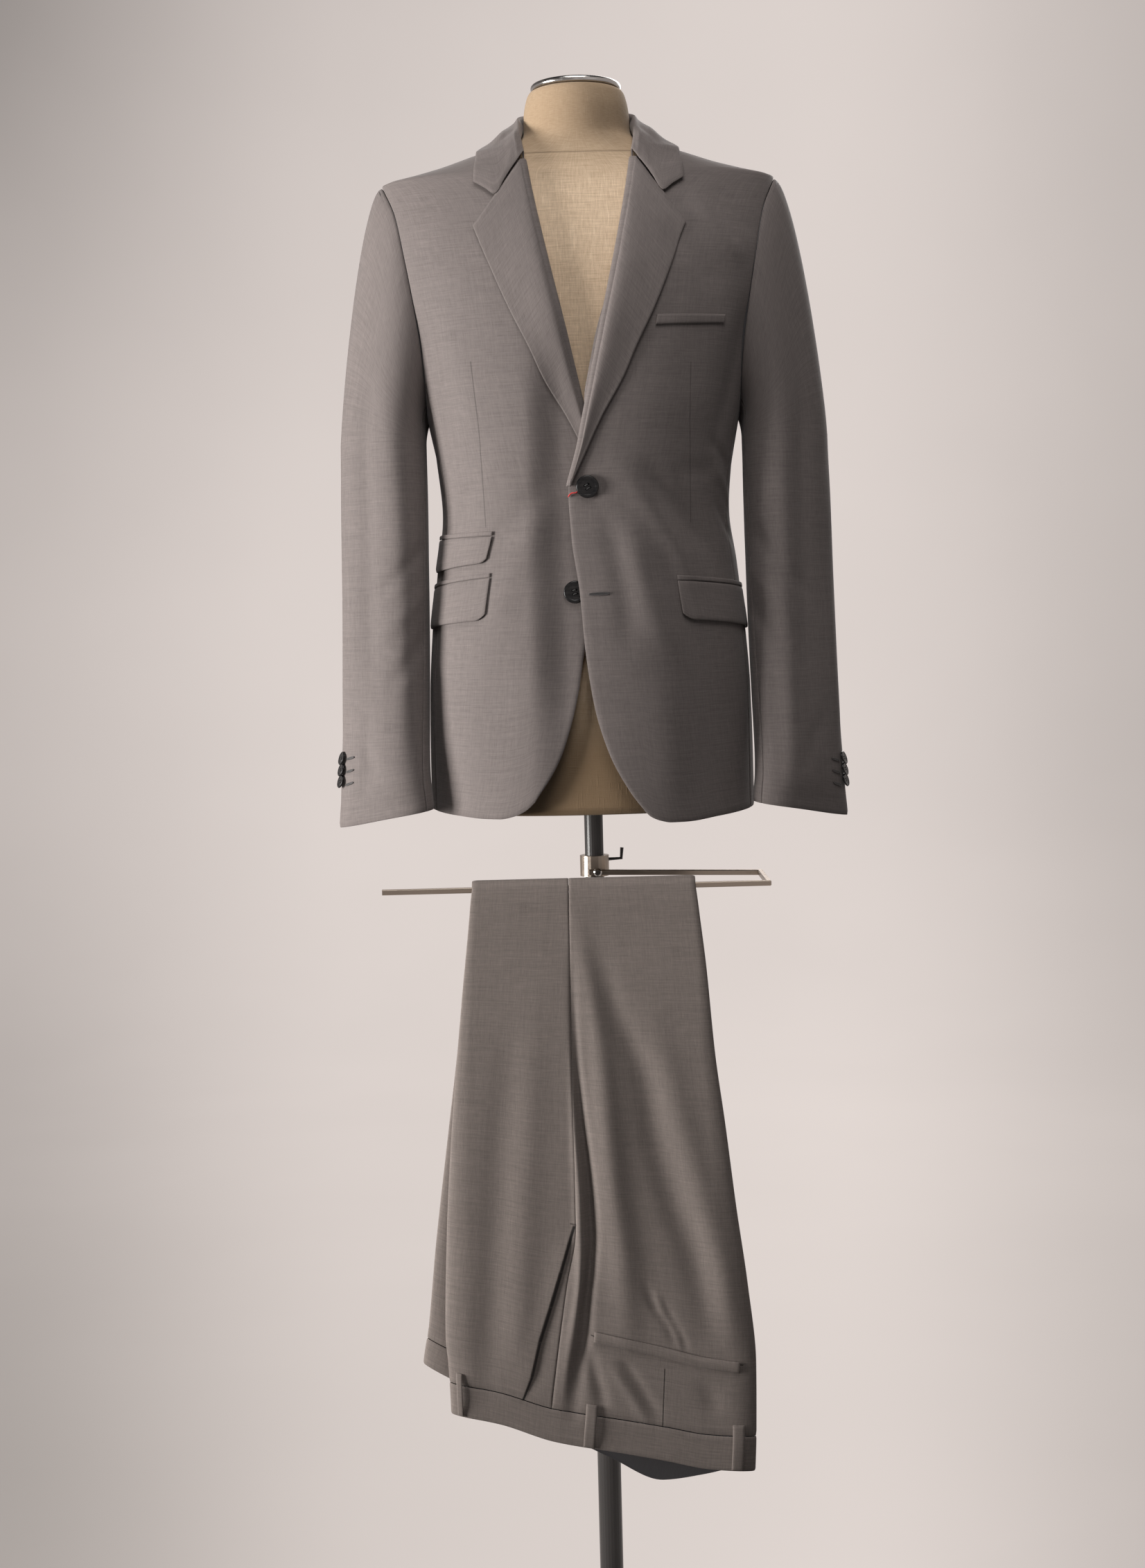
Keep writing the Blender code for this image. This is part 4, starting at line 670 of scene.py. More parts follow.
VENT_TOP, VENT_UNDERLAP = 1.165, 0.035
vent_rows = np.linspace(HEM_LEVEL, VENT_TOP, 56)[:, None]
vent_angles = math.pi - np.linspace(0.020, -VENT_UNDERLAP, 20)[None] / 0.135
vent_grid = torso_point(vent_angles + 0 * vent_rows, hang(math.pi, vent_rows, LEFT_HEM) + 0 * vent_angles)
vent_grid[..., 1] -= WALL + 0.0009
sew("vent_strip", vent_grid, jacket_wool, ("vent_underlap",), "hung", ("left_back_cloth",), lined=dark_lining)

# The sleeves: an upper and an under piece of the same wool, lined, sewn in front and behind, and eased into
# the armhole so that the head stands a little full. Soft drag creases cross the elbow and run down from the
# underarm.

# Height, centre x, half width, centre y, half depth and turn in degrees of the sleeve below the arm
SLEEVE = np.array((
    (0.930, 0.2165, 0.0555, -0.0580, 0.0300, 22.0), (0.952, 0.2165, 0.0550, -0.0570, 0.0300, 22.0),
    (0.980, 0.2165, 0.0515, -0.0540, 0.0340, 20.0), (1.040, 0.2150, 0.0475, -0.0430, 0.0400, 14.0),
    (1.120, 0.2138, 0.0465, -0.0280, 0.0470, 8.0), (1.200, 0.2130, 0.0460, -0.0150, 0.0540, 4.0),
    (1.280, 0.2125, 0.0458, -0.0050, 0.0600, 0.0), (1.340, 0.2120, 0.0450, 0.0010, 0.0650, 0.0),
))
# Creases as on the body, the angle going round the sleeve from its outer side over the front
LEFT_SLEEVE_CREASES = np.array((
    (58, 1.420, 76, 1.060, 8, 0.0130, -0.0019), (100, 1.380, 112, 1.010, -6, 0.0120, 0.0016),
    (140, 1.245, 72, 1.172, 6, 0.0085, -0.0020), (148, 1.205, 84, 1.138, 4, 0.0085, 0.0014),
    (152, 1.168, 92, 1.100, 4, 0.0090, -0.0016), (16, 1.350, 38, 1.190, 0, 0.0150, -0.0012),
    (300, 1.310, 330, 1.120, 0, 0.0150, -0.0018), (240, 1.225, 305, 1.160, 5, 0.0090, -0.0019),
    (250, 1.180, 310, 1.120, 4, 0.0090, 0.0014), (345, 1.110, 352, 0.980, 0, 0.0120, 0.0012),
    (50, 1.050, 96, 0.985, 4, 0.0090, -0.0012), (200, 1.330, 215, 1.180, 0, 0.0140, -0.0018),
    (120, 1.100, 128, 0.965, -4, 0.0100, -0.0013), (30, 1.180, 20, 1.030, 4, 0.0120, 0.0013),
))
RIGHT_SLEEVE_CREASES = np.array((
    (64, 1.400, 80, 1.080, -6, 0.0140, -0.0015), (104, 1.370, 118, 1.020, 6, 0.0110, 0.0014),
    (146, 1.235, 82, 1.180, 5, 0.0080, -0.0018), (150, 1.190, 70, 1.128, 6, 0.0090, 0.0013),
    (154, 1.150, 96, 1.082, 4, 0.0090, -0.0015), (24, 1.330, 36, 1.210, 0, 0.0150, -0.0010),
    (306, 1.300, 326, 1.130, 4, 0.0140, -0.0017), (246, 1.215, 300, 1.150, 5, 0.0090, -0.0018),
    (252, 1.170, 306, 1.105, 4, 0.0090, 0.0013), (348, 1.120, 356, 0.990, 0, 0.0120, 0.0010),
    (46, 1.040, 88, 0.990, 4, 0.0080, -0.0014), (196, 1.320, 212, 1.190, 0, 0.0140, -0.0017),
    (70, 1.060, 62, 0.970, 3, 0.0090, -0.0012), (34, 1.170, 26, 1.040, -4, 0.0120, 0.0011),
))
SLEEVE_RADIUS, SLEEVE_FRONT_SEAM = 0.050, math.radians(150)
SLEEVE_BACK_SEAM_TOP, SLEEVE_BACK_SEAM_CUFF = math.radians(-20), math.radians(2)


def sleeve_ring(phi, height, folds=None):
    """The sleeve below the arm: an oval round its middle line, turned so that its inner edge comes forward.
    It has been pressed, so the front is a flat face that looks outwards and folds near the inner edge."""
    centre_x, half_x = smooth(height, SLEEVE, 1), smooth(height, SLEEVE, 2)
    centre_y, half_y = smooth(height, SLEEVE, 3), smooth(height, SLEEVE, 4)
    turn = np.radians(smooth(height, SLEEVE, 5))
    pressed = 0.0045 + 0.0070 * ramp(height, 0.98, 1.28)
    out = -pressed * np.sin(2 * phi - math.radians(30)) * np.maximum(np.sin(phi), 0)
    if folds is not None:
        out = out + creases(phi, height, folds, SLEEVE_RADIUS)
    across, ahead = (half_x + out) * np.cos(phi), -(half_y + out) * np.sin(phi)
    x = centre_x + across * np.cos(turn) - ahead * np.sin(turn) * 0.3
    return np.stack((x, centre_y + across * np.sin(turn) + ahead * np.cos(turn), height + 0 * phi), axis=-1)


def cuff_slant(phi, height):
    """How far a ring near the cuff is tilted: down on its outer side, up on its inner side."""
    return -0.010 * (1 - ramp(height, 0.95, 1.05)) * np.cos(phi)


def sleeve_cap(phi, t, folds):
    """The sleeve head: each thread runs out of the armhole and turns down into the first full ring, a
    cubic between the two whose way at each end is given."""
    inset = 0.0004
    depth = np.where(np.sin(phi) > 0, ARMHOLE_FRONT, ARMHOLE_BACK) - inset
    y = -depth * np.sin(phi)
    z = ARMHOLE_CENTRE + (ARMHOLE_HALF_HEIGHT - inset) * np.cos(phi)
    reach = np.where(y < 0, smooth(z, TORSO, 2), smooth(z, TORSO, 3))
    x = smooth(z, TORSO, 1) * (1 - np.minimum(1, np.abs(y) / reach) ** SECTION_POWER) ** (1 / SECTION_POWER)
    start = np.stack((x - 0.0004, y, z), axis=-1)
    finish = sleeve_ring(phi, np.full_like(phi, 1.340))
    span = np.linalg.norm(finish - start, axis=-1)
    rise = (1 + np.cos(phi)) / 2
    leave = np.stack((0.004 + 0.055 * np.sqrt(rise), -0.022 * np.sin(phi),
                      -0.24 * rise * (1 - rise) - 0.015 * (1 - rise) ** 2), axis=-1)
    arrive = np.stack((0.02 * np.maximum(np.cos(phi), 0), 0 * phi, -0.97 * span), axis=-1)
    t = t[..., None]
    grid = ((1 + 2 * t) * (1 - t) ** 2 * start + t * (1 - t) ** 2 * leave
            + t * t * (3 - 2 * t) * finish + t * t * (t - 1) * arrive)
    # The head is eased in: faint puckers near the seam, and below them the sleeve's creases begin
    pucker = 0.00035 * np.sin(34 * phi) * np.exp(-((t[..., 0] - 0.13) / 0.09) ** 2) * rise
    swell = creases(phi, grid[..., 2], folds, SLEEVE_RADIUS) * ramp(t[..., 0], 0.25, 0.8) + pucker
    return grid + np.stack((np.cos(phi), -np.sin(phi), 0 * phi), axis=-1) * swell[..., None]


def sleeve_panel(side, under, folds, columns=56):
    """The upper or under half of a sleeve. Its back seam swings from one angle to another in 13 even steps:
    the shares of the head where the first five end, then the heights where the others begin and end."""
    cap = np.linspace(0, 1, 46)
    rings = np.linspace(1.336, 0.950, 92)
    steps_down = np.array((1.340, 1.300, 1.250, 1.195, 1.140, 1.085, 1.035, 0.990, 0.950))
    row = np.concatenate((np.interp(cap, (0, 0.12, 0.3, 0.52, 0.76, 1.0), range(6)),
                          np.interp(-rings, -steps_down, range(5, 14))))
    back_seam = SLEEVE_BACK_SEAM_TOP + row / 13 * (SLEEVE_BACK_SEAM_CUFF - SLEEVE_BACK_SEAM_TOP)
    front_seam = np.full_like(back_seam, SLEEVE_FRONT_SEAM)
    first, last = (front_seam, 2 * math.pi + back_seam) if under else (back_seam, front_seam)
    phi = first[:, None] + 0.004 + (last - first - 0.008)[:, None] * crowd(columns)
    head = sleeve_cap(phi[:46], cap[:, None] + 0 * phi[:46], folds)
    heights = rings[:, None] + 0 * phi[46:]
    arm = sleeve_ring(phi[46:], heights, folds)
    arm[..., 2] += cuff_slant(phi[46:], heights)
    grid = np.concatenate((head, arm)) * (side, 1, 1)
    return turned_edges(grid, 0.0006 * side)


def armhole_tape(side):
    """The strip that is sewn inside the armhole across its seam: a ring a little inside its oval."""
    inset, phi = 0.0032, np.linspace(math.pi + 0.01, 3 * math.pi - 0.01, 121)[None]
    reach = np.linspace(-0.010, 0.003, 7)[:, None]
    y = -(np.where(np.sin(phi) > 0, ARMHOLE_FRONT, ARMHOLE_BACK) - inset) * np.sin(phi)
    z = ARMHOLE_CENTRE + (ARMHOLE_HALF_HEIGHT - inset) * np.cos(phi)
    depth = np.where(y < 0, smooth(z, TORSO, 2), smooth(z, TORSO, 3))
    x = smooth(z, TORSO, 1) * (1 - (np.abs(y) / depth) ** SECTION_POWER) ** (1 / SECTION_POWER)
    return np.stack((side * (x + reach), y + 0 * reach, z + 0 * reach), axis=-1)


for side, hand, folds in ((1, "left", LEFT_SLEEVE_CREASES), (-1, "right", RIGHT_SLEEVE_CREASES)):
    tape = cut_cloth(f"{hand}_armhole_tape", armhole_tape(side), dark_lining, (), flip=side > 0, wall=0.0010)
    for under, half in ((False, "upper"), (True, "under")):
        sew(f"{hand}_{half}_sleeve_cloth", sleeve_panel(side, under, folds), jacket_wool,
            (f"{hand}_{half}_sleeve",), "hung", (f"{hand}_front_cloth", f"{hand}_back_cloth"),
            with_pieces=() if under else [tape], flip=side < 0, lined=dark_lining)

# The lapels: the facing, of the same wool, turns over the front's edge in a soft roll, never pressed flat,
# and lies on the front as far as its own edge. The notch is where its gorge leaves the collar.

BREAK, FACING_DEPTH, LAPEL_GAP, LAPEL_SWELL, NOTCH_SHARE = 1.282, 0.0048, 0.0018, 0.0035, 0.554
LAPEL_ROLL = np.array((
    (1.282, -0.0184), (1.326, -0.0055), (1.353, 0.0003), (1.436, 0.0185), (1.528, 0.0390),
    (1.589, 0.0510), (1.6226, 0.0565),
))
LAPEL_EDGE = np.array((
    (1.282, -0.0184), (1.309, -0.0045), (1.353, 0.0166), (1.394, 0.0398), (1.4218, 0.0520),
    (1.4636, 0.0720), (1.520, 0.0950), (1.5515, 0.1065),
))


def lapel(side):
    """The facing inside the front's edge, a half round over that edge, then out over the front: the fall
    stands off by a swell, sin(pi v) sqrt(s) (1 - s)^2, that dies out at the edge."""
    v = np.linspace(0.012, 0.9975, 120)[:, None]
    round_turn = np.linspace(0, math.pi, 13)[None]
    facing = np.linspace(0.0150, 0.0012, 6, endpoint=False)[None]
    share = np.concatenate((0 * facing, 0 * round_turn, 0.002 + 0.998 * crowd(40, 0.5)[None]), axis=1)
    shift = np.concatenate((facing, 0.0012 - 0.0048 * np.sin(round_turn), np.full((1, 40), 0.0012)), axis=1)
    shift = shift * np.concatenate((np.ones((1, 19)), (1 - crowd(40, 0.5)[None]) ** 3), axis=1) + 0 * v
    if side > 0:
        slack = 0.017 * ramp(v, 0.16, 0.30) * (1 - ramp(v, 0.42, 0.72))
        shift[:, :6] -= slack * np.linspace(1.0, 0.45, 6)
    middle, radius = (WALL + LAPEL_GAP - FACING_DEPTH) / 2, (WALL + LAPEL_GAP + FACING_DEPTH) / 2
    base = np.concatenate((0 * facing - FACING_DEPTH, middle - radius * np.cos(round_turn),
                           np.full((1, 40), WALL + LAPEL_GAP)), axis=1)
    roll_height, edge_height = (BREAK + v * (table[-1, 0] - BREAK) for table in (LAPEL_ROLL, LAPEL_EDGE))
    roll, edge = smooth(roll_height, LAPEL_ROLL), smooth(edge_height, LAPEL_EDGE)
    x = side * (roll + shift + share * (edge - roll))
    gorge = np.where(share < NOTCH_SHARE, np.sin(math.pi * share / NOTCH_SHARE), 0)
    z = roll_height + share * (edge_height - roll_height) - 0.0010 * v ** 6 * gorge
    swell = LAPEL_SWELL * np.sin(math.pi * np.minimum(v, 0.9)) * np.sqrt(share) * (1 - share) ** 2 / 0.286
    wave = 0.0006 * np.sin(9 * v + 2 * side) * share ** 2
    grid = torso_point(angle_at_x(x, z), z, base + swell + np.maximum(wave, -0.0004))
    if side < 0:
        grid[..., 1] += under_tuck(x, z)
    return turned_edges(grid, 0.0005 * side, 0.0018)


for side, hand in ((1, "left"), (-1, "right")):
    sew(f"{hand}_lapel_cloth", lapel(side), jacket_wool, (f"{hand}_lapel",), "folded",
        (f"{hand}_front_cloth",), flip=side < 0)

# The collar: a stand inside the neck, a rolled fold, and a fall that covers the neck seam and runs forward
# to the notch. One piece of cloth over canvas and felt, steamed to its curve.

COLLAR_FOLD = np.array((
    (0.0000, 0.0650, 1.6900), (0.0340, 0.0565, 1.6895), (0.0555, 0.0310, 1.6850),
    (0.0612, 0.0060, 1.6770), (0.0613, -0.0180, 1.6650), (0.0600, -0.0420, 1.6480),
    (0.0565, -0.0650, 1.6270),
))
COLLAR_MIDDLE = np.array((
    (0.0000, 0.0765, 1.6690), (0.0395, 0.0690, 1.6690), (0.0670, 0.0425, 1.6680),
    (0.0775, 0.0070, 1.6650), (0.0800, -0.0250, 1.6555), (0.0815, -0.0520, 1.6340),
    (0.0843, -0.0830, 1.5835),
))
COLLAR_EDGE = np.array((
    (0.0000, 0.0810, 1.6430), (0.0460, 0.0755, 1.6420), (0.0800, 0.0480, 1.6445),
    (0.0930, 0.0080, 1.6445), (0.1010, -0.0280, 1.6380), (0.1040, -0.0520, 1.6250),
    (0.1070, -0.0760, 1.5985),
))


def outside(points):
    """How far points lie outside the torso, and the way out of it there: the level of the rounded oblong
    divided by the length of its slope."""
    def level(p):
        depth = np.where(p[..., 1] < 0, smooth(p[..., 2], TORSO, 2), smooth(p[..., 2], TORSO, 3))
        shape = ((np.abs(p[..., 0]) / smooth(p[..., 2], TORSO, 1)) ** SECTION_POWER
                 + (np.abs(p[..., 1]) / depth) ** SECTION_POWER)
        return shape ** (1 / SECTION_POWER) - 1

    step = 0.0005
    here = level(points)
    way = np.stack([(level(points + step * axis) - level(points - step * axis)) / (2 * step)
                    for axis in np.eye(3)], axis=-1)
    length = np.maximum(np.linalg.norm(way, axis=-1), 1e-6)
    return here / length, way / length[..., None]


def seated(points, least):
    """The points, moved out where they are nearer the torso than least."""
    for _ in range(4):
        gap, way = outside(points)
        points = points + way * np.maximum(least - gap, 0)[..., None]
    return points


def at_lift(points, lift):
    """The points, moved along the way out until they lie lift outside the torso."""
    for _ in range(4):
        gap, way = outside(points)
        points = points + way * (lift - gap)[..., None]
    return points


def through(points, count):
    """A smooth curve of count points through the points of axis 1: a cubic between each two, whose slope at
    a point is half the step from the one before it to the one after it."""
    last = points.shape[1] - 1
    place = np.linspace(0, last, count)
    i = np.minimum(place.astype(int), last - 1)
    t = (place - i)[None, :, None]
    slope = np.gradient(points, axis=1)
    return ((1 + 2 * t) * (1 - t) ** 2 * points[:, i] + t * (1 - t) ** 2 * slope[:, i]
            + t * t * (3 - 2 * t) * points[:, i + 1] + t * t * (t - 1) * slope[:, i + 1])


def collar_grid(stations=64):
    """Stand, fold and fall carried round the neck, from the right notch to the left one."""
    at = np.arange(len(COLLAR_FOLD), dtype=float)
    place = np.linspace(0, at[-1], stations)
    top, mid, low = (np.stack([smooth(place, np.column_stack((at, table[:, k]))) for k in range(3)], axis=-1)
                     for table in (COLLAR_FOLD, COLLAR_MIDDLE, COLLAR_EDGE))
    share = np.array((0.14, 0.35, 0.55, 0.78, 1.0))[None, :, None]
    fall = np.where(share <= 0.55, top[:, None] + (mid - top)[:, None] * share / 0.55,
                    mid[:, None] + (low - mid)[:, None] * (share - 0.55) / 0.45)
    fall = seated(fall, WALL + LAPEL_GAP + 0.0013)
    out = (fall[:, 0] - top) * (1, 1, 0)
    out = out / np.maximum(np.linalg.norm(out, axis=-1), 1e-6)[:, None]
    depth = 0.0025 + 0.0285 * (1 - ramp(np.hypot(top[:, 0], top[:, 1] - 0.065), 0.03, 0.13))
    ahead = ramp(-top[:, 1], -0.01, 0.03)[:, None]
    up = np.array((0.0, 0.0, 1.0))
    crown = top + up * (0.0012 + 0.0022 * ahead) + out * (0.0005 - 0.0022 * ahead)
    stand = np.stack((top + out * 0.0005 - up * depth[:, None], top - out * 0.0022 - up * 0.0030), axis=1)
    stand = stand + ahead[:, None] * (at_lift(stand, -FACING_DEPTH) - stand)
    half = through(np.concatenate((stand, crown[:, None], fall), axis=1), 44)
    half[:, 16:] = seated(half[:, 16:], WALL + LAPEL_GAP + 0.0013)
    return turned_edges(np.concatenate((half[:0:-1] * (-1, 1, 1), half)), -0.0005, 0.0018)


sew("collar_cloth", collar_grid(), jacket_wool, ("collar",), "folded",
    ("left_front_cloth", "right_front_cloth"), flip=True)

# Pockets: a flap hangs below a narrow welt at each hip, with a small ticket flap above the wearer's right
# one, and a plain welt stands at the left chest. Each flap is two layers of the wool, bagged out.

FLAP_LIFT, TICKET_LIFT, FLAP_WALL = 0.0023, 0.0027, 0.0014


def flap(side, front_x, last, top, foot, lift, round_off=0.0, rows=16):
    """A flap or welt on the front: between its front end's x at top and foot and the angle of its far end,
    with its foot's corners lifted by round_off (1 - d)^2 and its foot kicked out a little."""
    share = crowd(54, 0.5)[None]
    v = np.linspace(0, 1, rows)[:, None]
    corner = np.maximum(1 - np.minimum(share, 1 - share) / 0.085, 0)
    first_foot, first_top = angle_at_x(front_x[1], foot[0]), angle_at_x(front_x[0], top[0])
    first = first_foot + v * (first_top - first_foot)
    low = foot[0] + share * (foot[1] - foot[0]) + round_off * corner ** 2
    high = top[0] + share * (top[1] - top[0])
    kick = 0.0007 * (1 - v) ** 2 * (1 + 0.6 * np.sin(7 * share + side)) if rows > 8 else 0 * v
    grid = torso_point(side * (first + share * (last - first)), low + v * (high - low), lift + kick)
    return turned_edges(grid, 0.0005 * side, 0.0016)


def flap_and_welt(name, side, far, top, foot, front_x, welt_x, welt_depth, lift, corner):
    """A flap with its two rounded corners, and the narrow welt above it, both ending at the angle far."""
    welt_top, welt_foot = (tuple(t + 0.0005 + depth for t in top) for depth in (welt_depth, 0.0))
    welt_grid = flap(side, welt_x, far, welt_top, welt_foot, lift, rows=7)
    welt = cut_cloth(f"{name}_welt_cloth", welt_grid, jacket_wool, (f"{name}_welt",), flip=side < 0,
                     wall=FLAP_WALL)
    sew(f"{name}_flap_cloth", flap(side, front_x, far, top, foot, lift, corner), jacket_wool,
        (f"{name}_flap",), "laid", ("left_front_cloth" if side > 0 else "right_front_cloth",),
        with_pieces=[welt], flip=side < 0, wall=FLAP_WALL)


flap_and_welt("left_pocket", 1, math.radians(97), (1.1890, 1.1800), (1.1500, 1.1380), (0.090, 0.095),
              (0.0895, 0.090), 0.0050, FLAP_LIFT, 0.006)
flap_and_welt("right_pocket", -1, math.radians(97), (1.1965, 1.1860), (1.1540, 1.1450), (0.099, 0.105),
              (0.0985, 0.099), 0.0045, FLAP_LIFT, 0.006)
flap_and_welt("ticket", -1, math.radians(84), (1.2385, 1.2385), (1.2120, 1.2040), (0.096, 0.102),
              (0.0955, 0.096), 0.0045, TICKET_LIFT, 0.004)
sew("chest_welt_cloth", flap(1, (0.0740, 0.0725), float(angle_at_x(0.143, 1.452)), (1.4548, 1.4570),
                             (1.4445, 1.4480), FLAP_LIFT, rows=7), jacket_wool, ("chest_welt",), "laid",
    ("left_front_cloth",), wall=FLAP_WALL)

# Buttons: black horn, turned with a raised rim, a dished middle and four drilled holes, sewn on with black
# thread. Two large ones close the front, and three small ones kiss on each cuff.


def horn():
    """Black horn: fine streaks along the sheet that it was cut from, and a soft polish."""
    disc = Finish("black_horn", specular_ior_level=0.30, coat_weight=0.08, coat_roughness=0.15)
    streak = disc.noise(disc.place(), 90, 5, (1, 1, 7))
    colour = disc.blend(disc.step(streak, 0.45, 0.75), (0.004, 0.004, 0.005, 1), (0.020, 0.019, 0.019, 1))
    return disc.show(base_color=colour, roughness=0.22 + streak * 0.16,
                     normal=disc.bump(0.08, 0.0001, streak))


def thread_finish(name, colour):
    """Twisted thread: two plies wound round each other, seen as slanting ridges."""
    yarn = Finish(name, roughness=0.6, sheen_weight=0.2)
    twist = yarn.noise(yarn.place(), 2600, 1, (1, 1, 0.4))
    tone = yarn.blend(twist, (*(0.6 * c for c in colour), 1), (*(1.4 * c for c in colour), 1))
    return yarn.show(base_color=tone, normal=yarn.bump(0.5, 0.0001, twist))


# A button's top and underside: shares of its radius and of its thickness
BUTTON_TOP = np.array((
    (0.0, -0.16), (0.60, -0.16), (0.68, -0.12), (0.76, 0.0), (0.84, 0.03), (0.92, -0.03), (0.97, -0.16),
    (1.0, -0.42),
))
BUTTON_UNDERSIDE = np.array(((0.99, 0.40), (0.93, 0.20), (0.72, 0.0), (0.0, 0.0)))
HOLE_OFFSET = 0.165


def button_grid(radius, thick, rings, steps):
    """A disc turned from its profile, with a dished middle, a raised rim and four round pits."""
    share = np.concatenate((np.linspace(0, 0.40, rings, endpoint=False), np.linspace(0.40, 1, rings // 2)))
    top = turned_grid(np.column_stack((share * radius, thick * (1 + smooth(share, BUTTON_TOP)))), steps)
    away = HOLE_OFFSET * radius
    pits = [np.hypot(top[..., 0] - a * away, top[..., 1] - b * away) for a in (-1, 1) for b in (-1, 1)]
    top[..., 2] -= 0.55 * thick * sum(1 - ramp(p, 0.055 * radius, 0.105 * radius) for p in pits)
    return np.concatenate((top, turned_grid(BUTTON_UNDERSIDE * (radius, thick), steps)))


def stand_on(grid, origin, normal, spin=0.0):
    """The grid, made round Z, set on origin with Z along normal."""
    up = np.array(normal, float) / np.linalg.norm(normal)
    across = np.cross((0.0, 0.0, 1.0), up)
    across /= np.linalg.norm(across)
    ahead = np.cross(up, across)
    c, s = math.cos(spin), math.sin(spin)
    return (np.array(origin) + grid[..., :1] * (c * across + s * ahead)
            + grid[..., 1:2] * (c * ahead - s * across) + grid[..., 2:] * up)


def cord_grid(path, radius, sides=8, closed=False):
    """A round thread along a path: a ring at each point, square to the way, and a point at each end."""
    path = np.asarray(path, float)
    way = (np.roll(path, -1, axis=0) - np.roll(path, 1, axis=0)) if closed else np.gradient(path, axis=0)
    way /= np.linalg.norm(way, axis=1)[:, None]
    first = np.cross(way, (0.31, 0.12, 0.94))
    first /= np.linalg.norm(first, axis=1)[:, None]
    second = np.cross(way, first)
    around = np.linspace(0, 2 * math.pi, sides + 1)[None, :, None]
    size = np.full((len(path), 1, 1), float(radius))
    if closed:
        path, first, second = (np.concatenate((a, a[:1])) for a in (path, first, second))
        size = np.concatenate((size, size[:1]))
    else:
        size[[0, -1]] = 0
    return path[:, None] + size * (np.cos(around) * first[:, None] + np.sin(around) * second[:, None])


def surface_frame(at):
    """A point of a surface, its outward way and its way up, from the surface as a function of two steps."""
    step = 0.0005
    along, up = at(step, 0) - at(-step, 0), at(0, step) - at(0, -step)
    normal = np.cross(along, up)
    return at(0, 0), normal / np.linalg.norm(normal), up / np.linalg.norm(up)


def on_front(x, z, lift=0.0, tuck=False):
    """The point of the jacket's front at x and z, at some lift."""
    point = torso_point(angle_at_x(x, z), z, lift)
    if tuck:
        point[..., 1] += under_tuck(x, z)
    return point


def cuff_point(side, folds, phi, height, lift=0.0):
    """The point of a sleeve at an angle round it and a height, moved out by lift."""
    point = sleeve_ring(np.asarray(phi, float), np.asarray(height, float), folds)
    point[..., 2] += cuff_slant(phi, height)
    way = np.stack((np.cos(phi), -np.sin(phi), 0 * np.asarray(phi, float)), axis=-1)
    return (point + way * lift) * (side, 1, 1)


black_horn = horn()
black_thread = thread_finish("black_thread", (0.015, 0.015, 0.016))
red_thread = thread_finish("red_thread", (0.55, 0.02, 0.02))
hole_thread = thread_finish("buttonhole_thread", (0.045, 0.040, 0.040))
# Radius and thickness of a front button and of a cuff button
FRONT_BUTTON, CUFF_BUTTON = (0.0115, 0.0032), (0.0073, 0.0021)


def sewn_button(name, radius, thick, origin, normal, spin, rings, steps):
    """A button with two strands of thread from hole to hole."""
    disc = stand_on(button_grid(radius, thick, rings, steps), origin, normal, spin)
    piece(f"{name}_horn", surface(f"{name}_horn", disc, closed=True), black_horn, "figure", (name,))
    t = np.linspace(-1, 1, 15)[:, None]
    top = thick * (0.84 + 0.22 * (1 - t ** 4) - 0.30 * t ** 8)
    for number, b in enumerate((-1, 1), 1):
        path = np.concatenate((t * 0.175 * radius, b * HOLE_OFFSET * radius + 0 * t, top), axis=1)
        strand = stand_on(cord_grid(path, 0.045 * radius), origin, normal, spin)
        label = f"{name}_thread_{number}"
        piece(label, surface(label, strand, closed=True), black_thread, "figure")


# Each cuff's side, creases and the heights of its three buttons. Then the angles round the sleeve of the
# buttons and of their slits, and how far a button leans over
CUFFS = ((-1, "right", RIGHT_SLEEVE_CREASES, (1.013, 1.001, 0.989)),
         (1, "left", LEFT_SLEEVE_CREASES, (1.0005, 0.989, 0.9775)))
CUFF_BUTTON_ANGLE, CUFF_SLIT_ANGLE, CUFF_BUTTON_LEAN = (math.radians(a) for a in (20, 39, 12.5))

for name, x, z, tuck, spin in (("top_button", 0.001, 1.285, False, 0.5),
                               ("lower_button", -0.014, 1.1795, True, 0.2)):
    def front(du, dv):
        return on_front(np.float64(x + du), np.float64(z + dv), tuck=tuck)
    origin, normal, _ = surface_frame(front)
    sewn_button(name, *FRONT_BUTTON, origin + normal * 0.0008, normal, spin, 34, 64)
for side, hand, folds, heights in CUFFS:
    for number, height in enumerate(heights, 1):
        def cuff(du, dv):
            phi = np.float64(CUFF_BUTTON_ANGLE + du / SLEEVE_RADIUS)
            return sleeve_ring(phi, np.float64(height - dv), folds)
        origin, normal, up = (way * (side, 1, 1) for way in surface_frame(cuff))
        lean = normal * math.cos(CUFF_BUTTON_LEAN) - up * math.sin(CUFF_BUTTON_LEAN)
        sewn_button(f"{hand}_cuff_button_{number}", *CUFF_BUTTON, origin + normal * 0.0012, lean, 0.4, 20, 40)

# Buttonholes and tacks: a close row of thread worked round each slit, an empty one on the left front and
# three at each cuff, and a small red thread tack at the left front's edge, beside the top button.


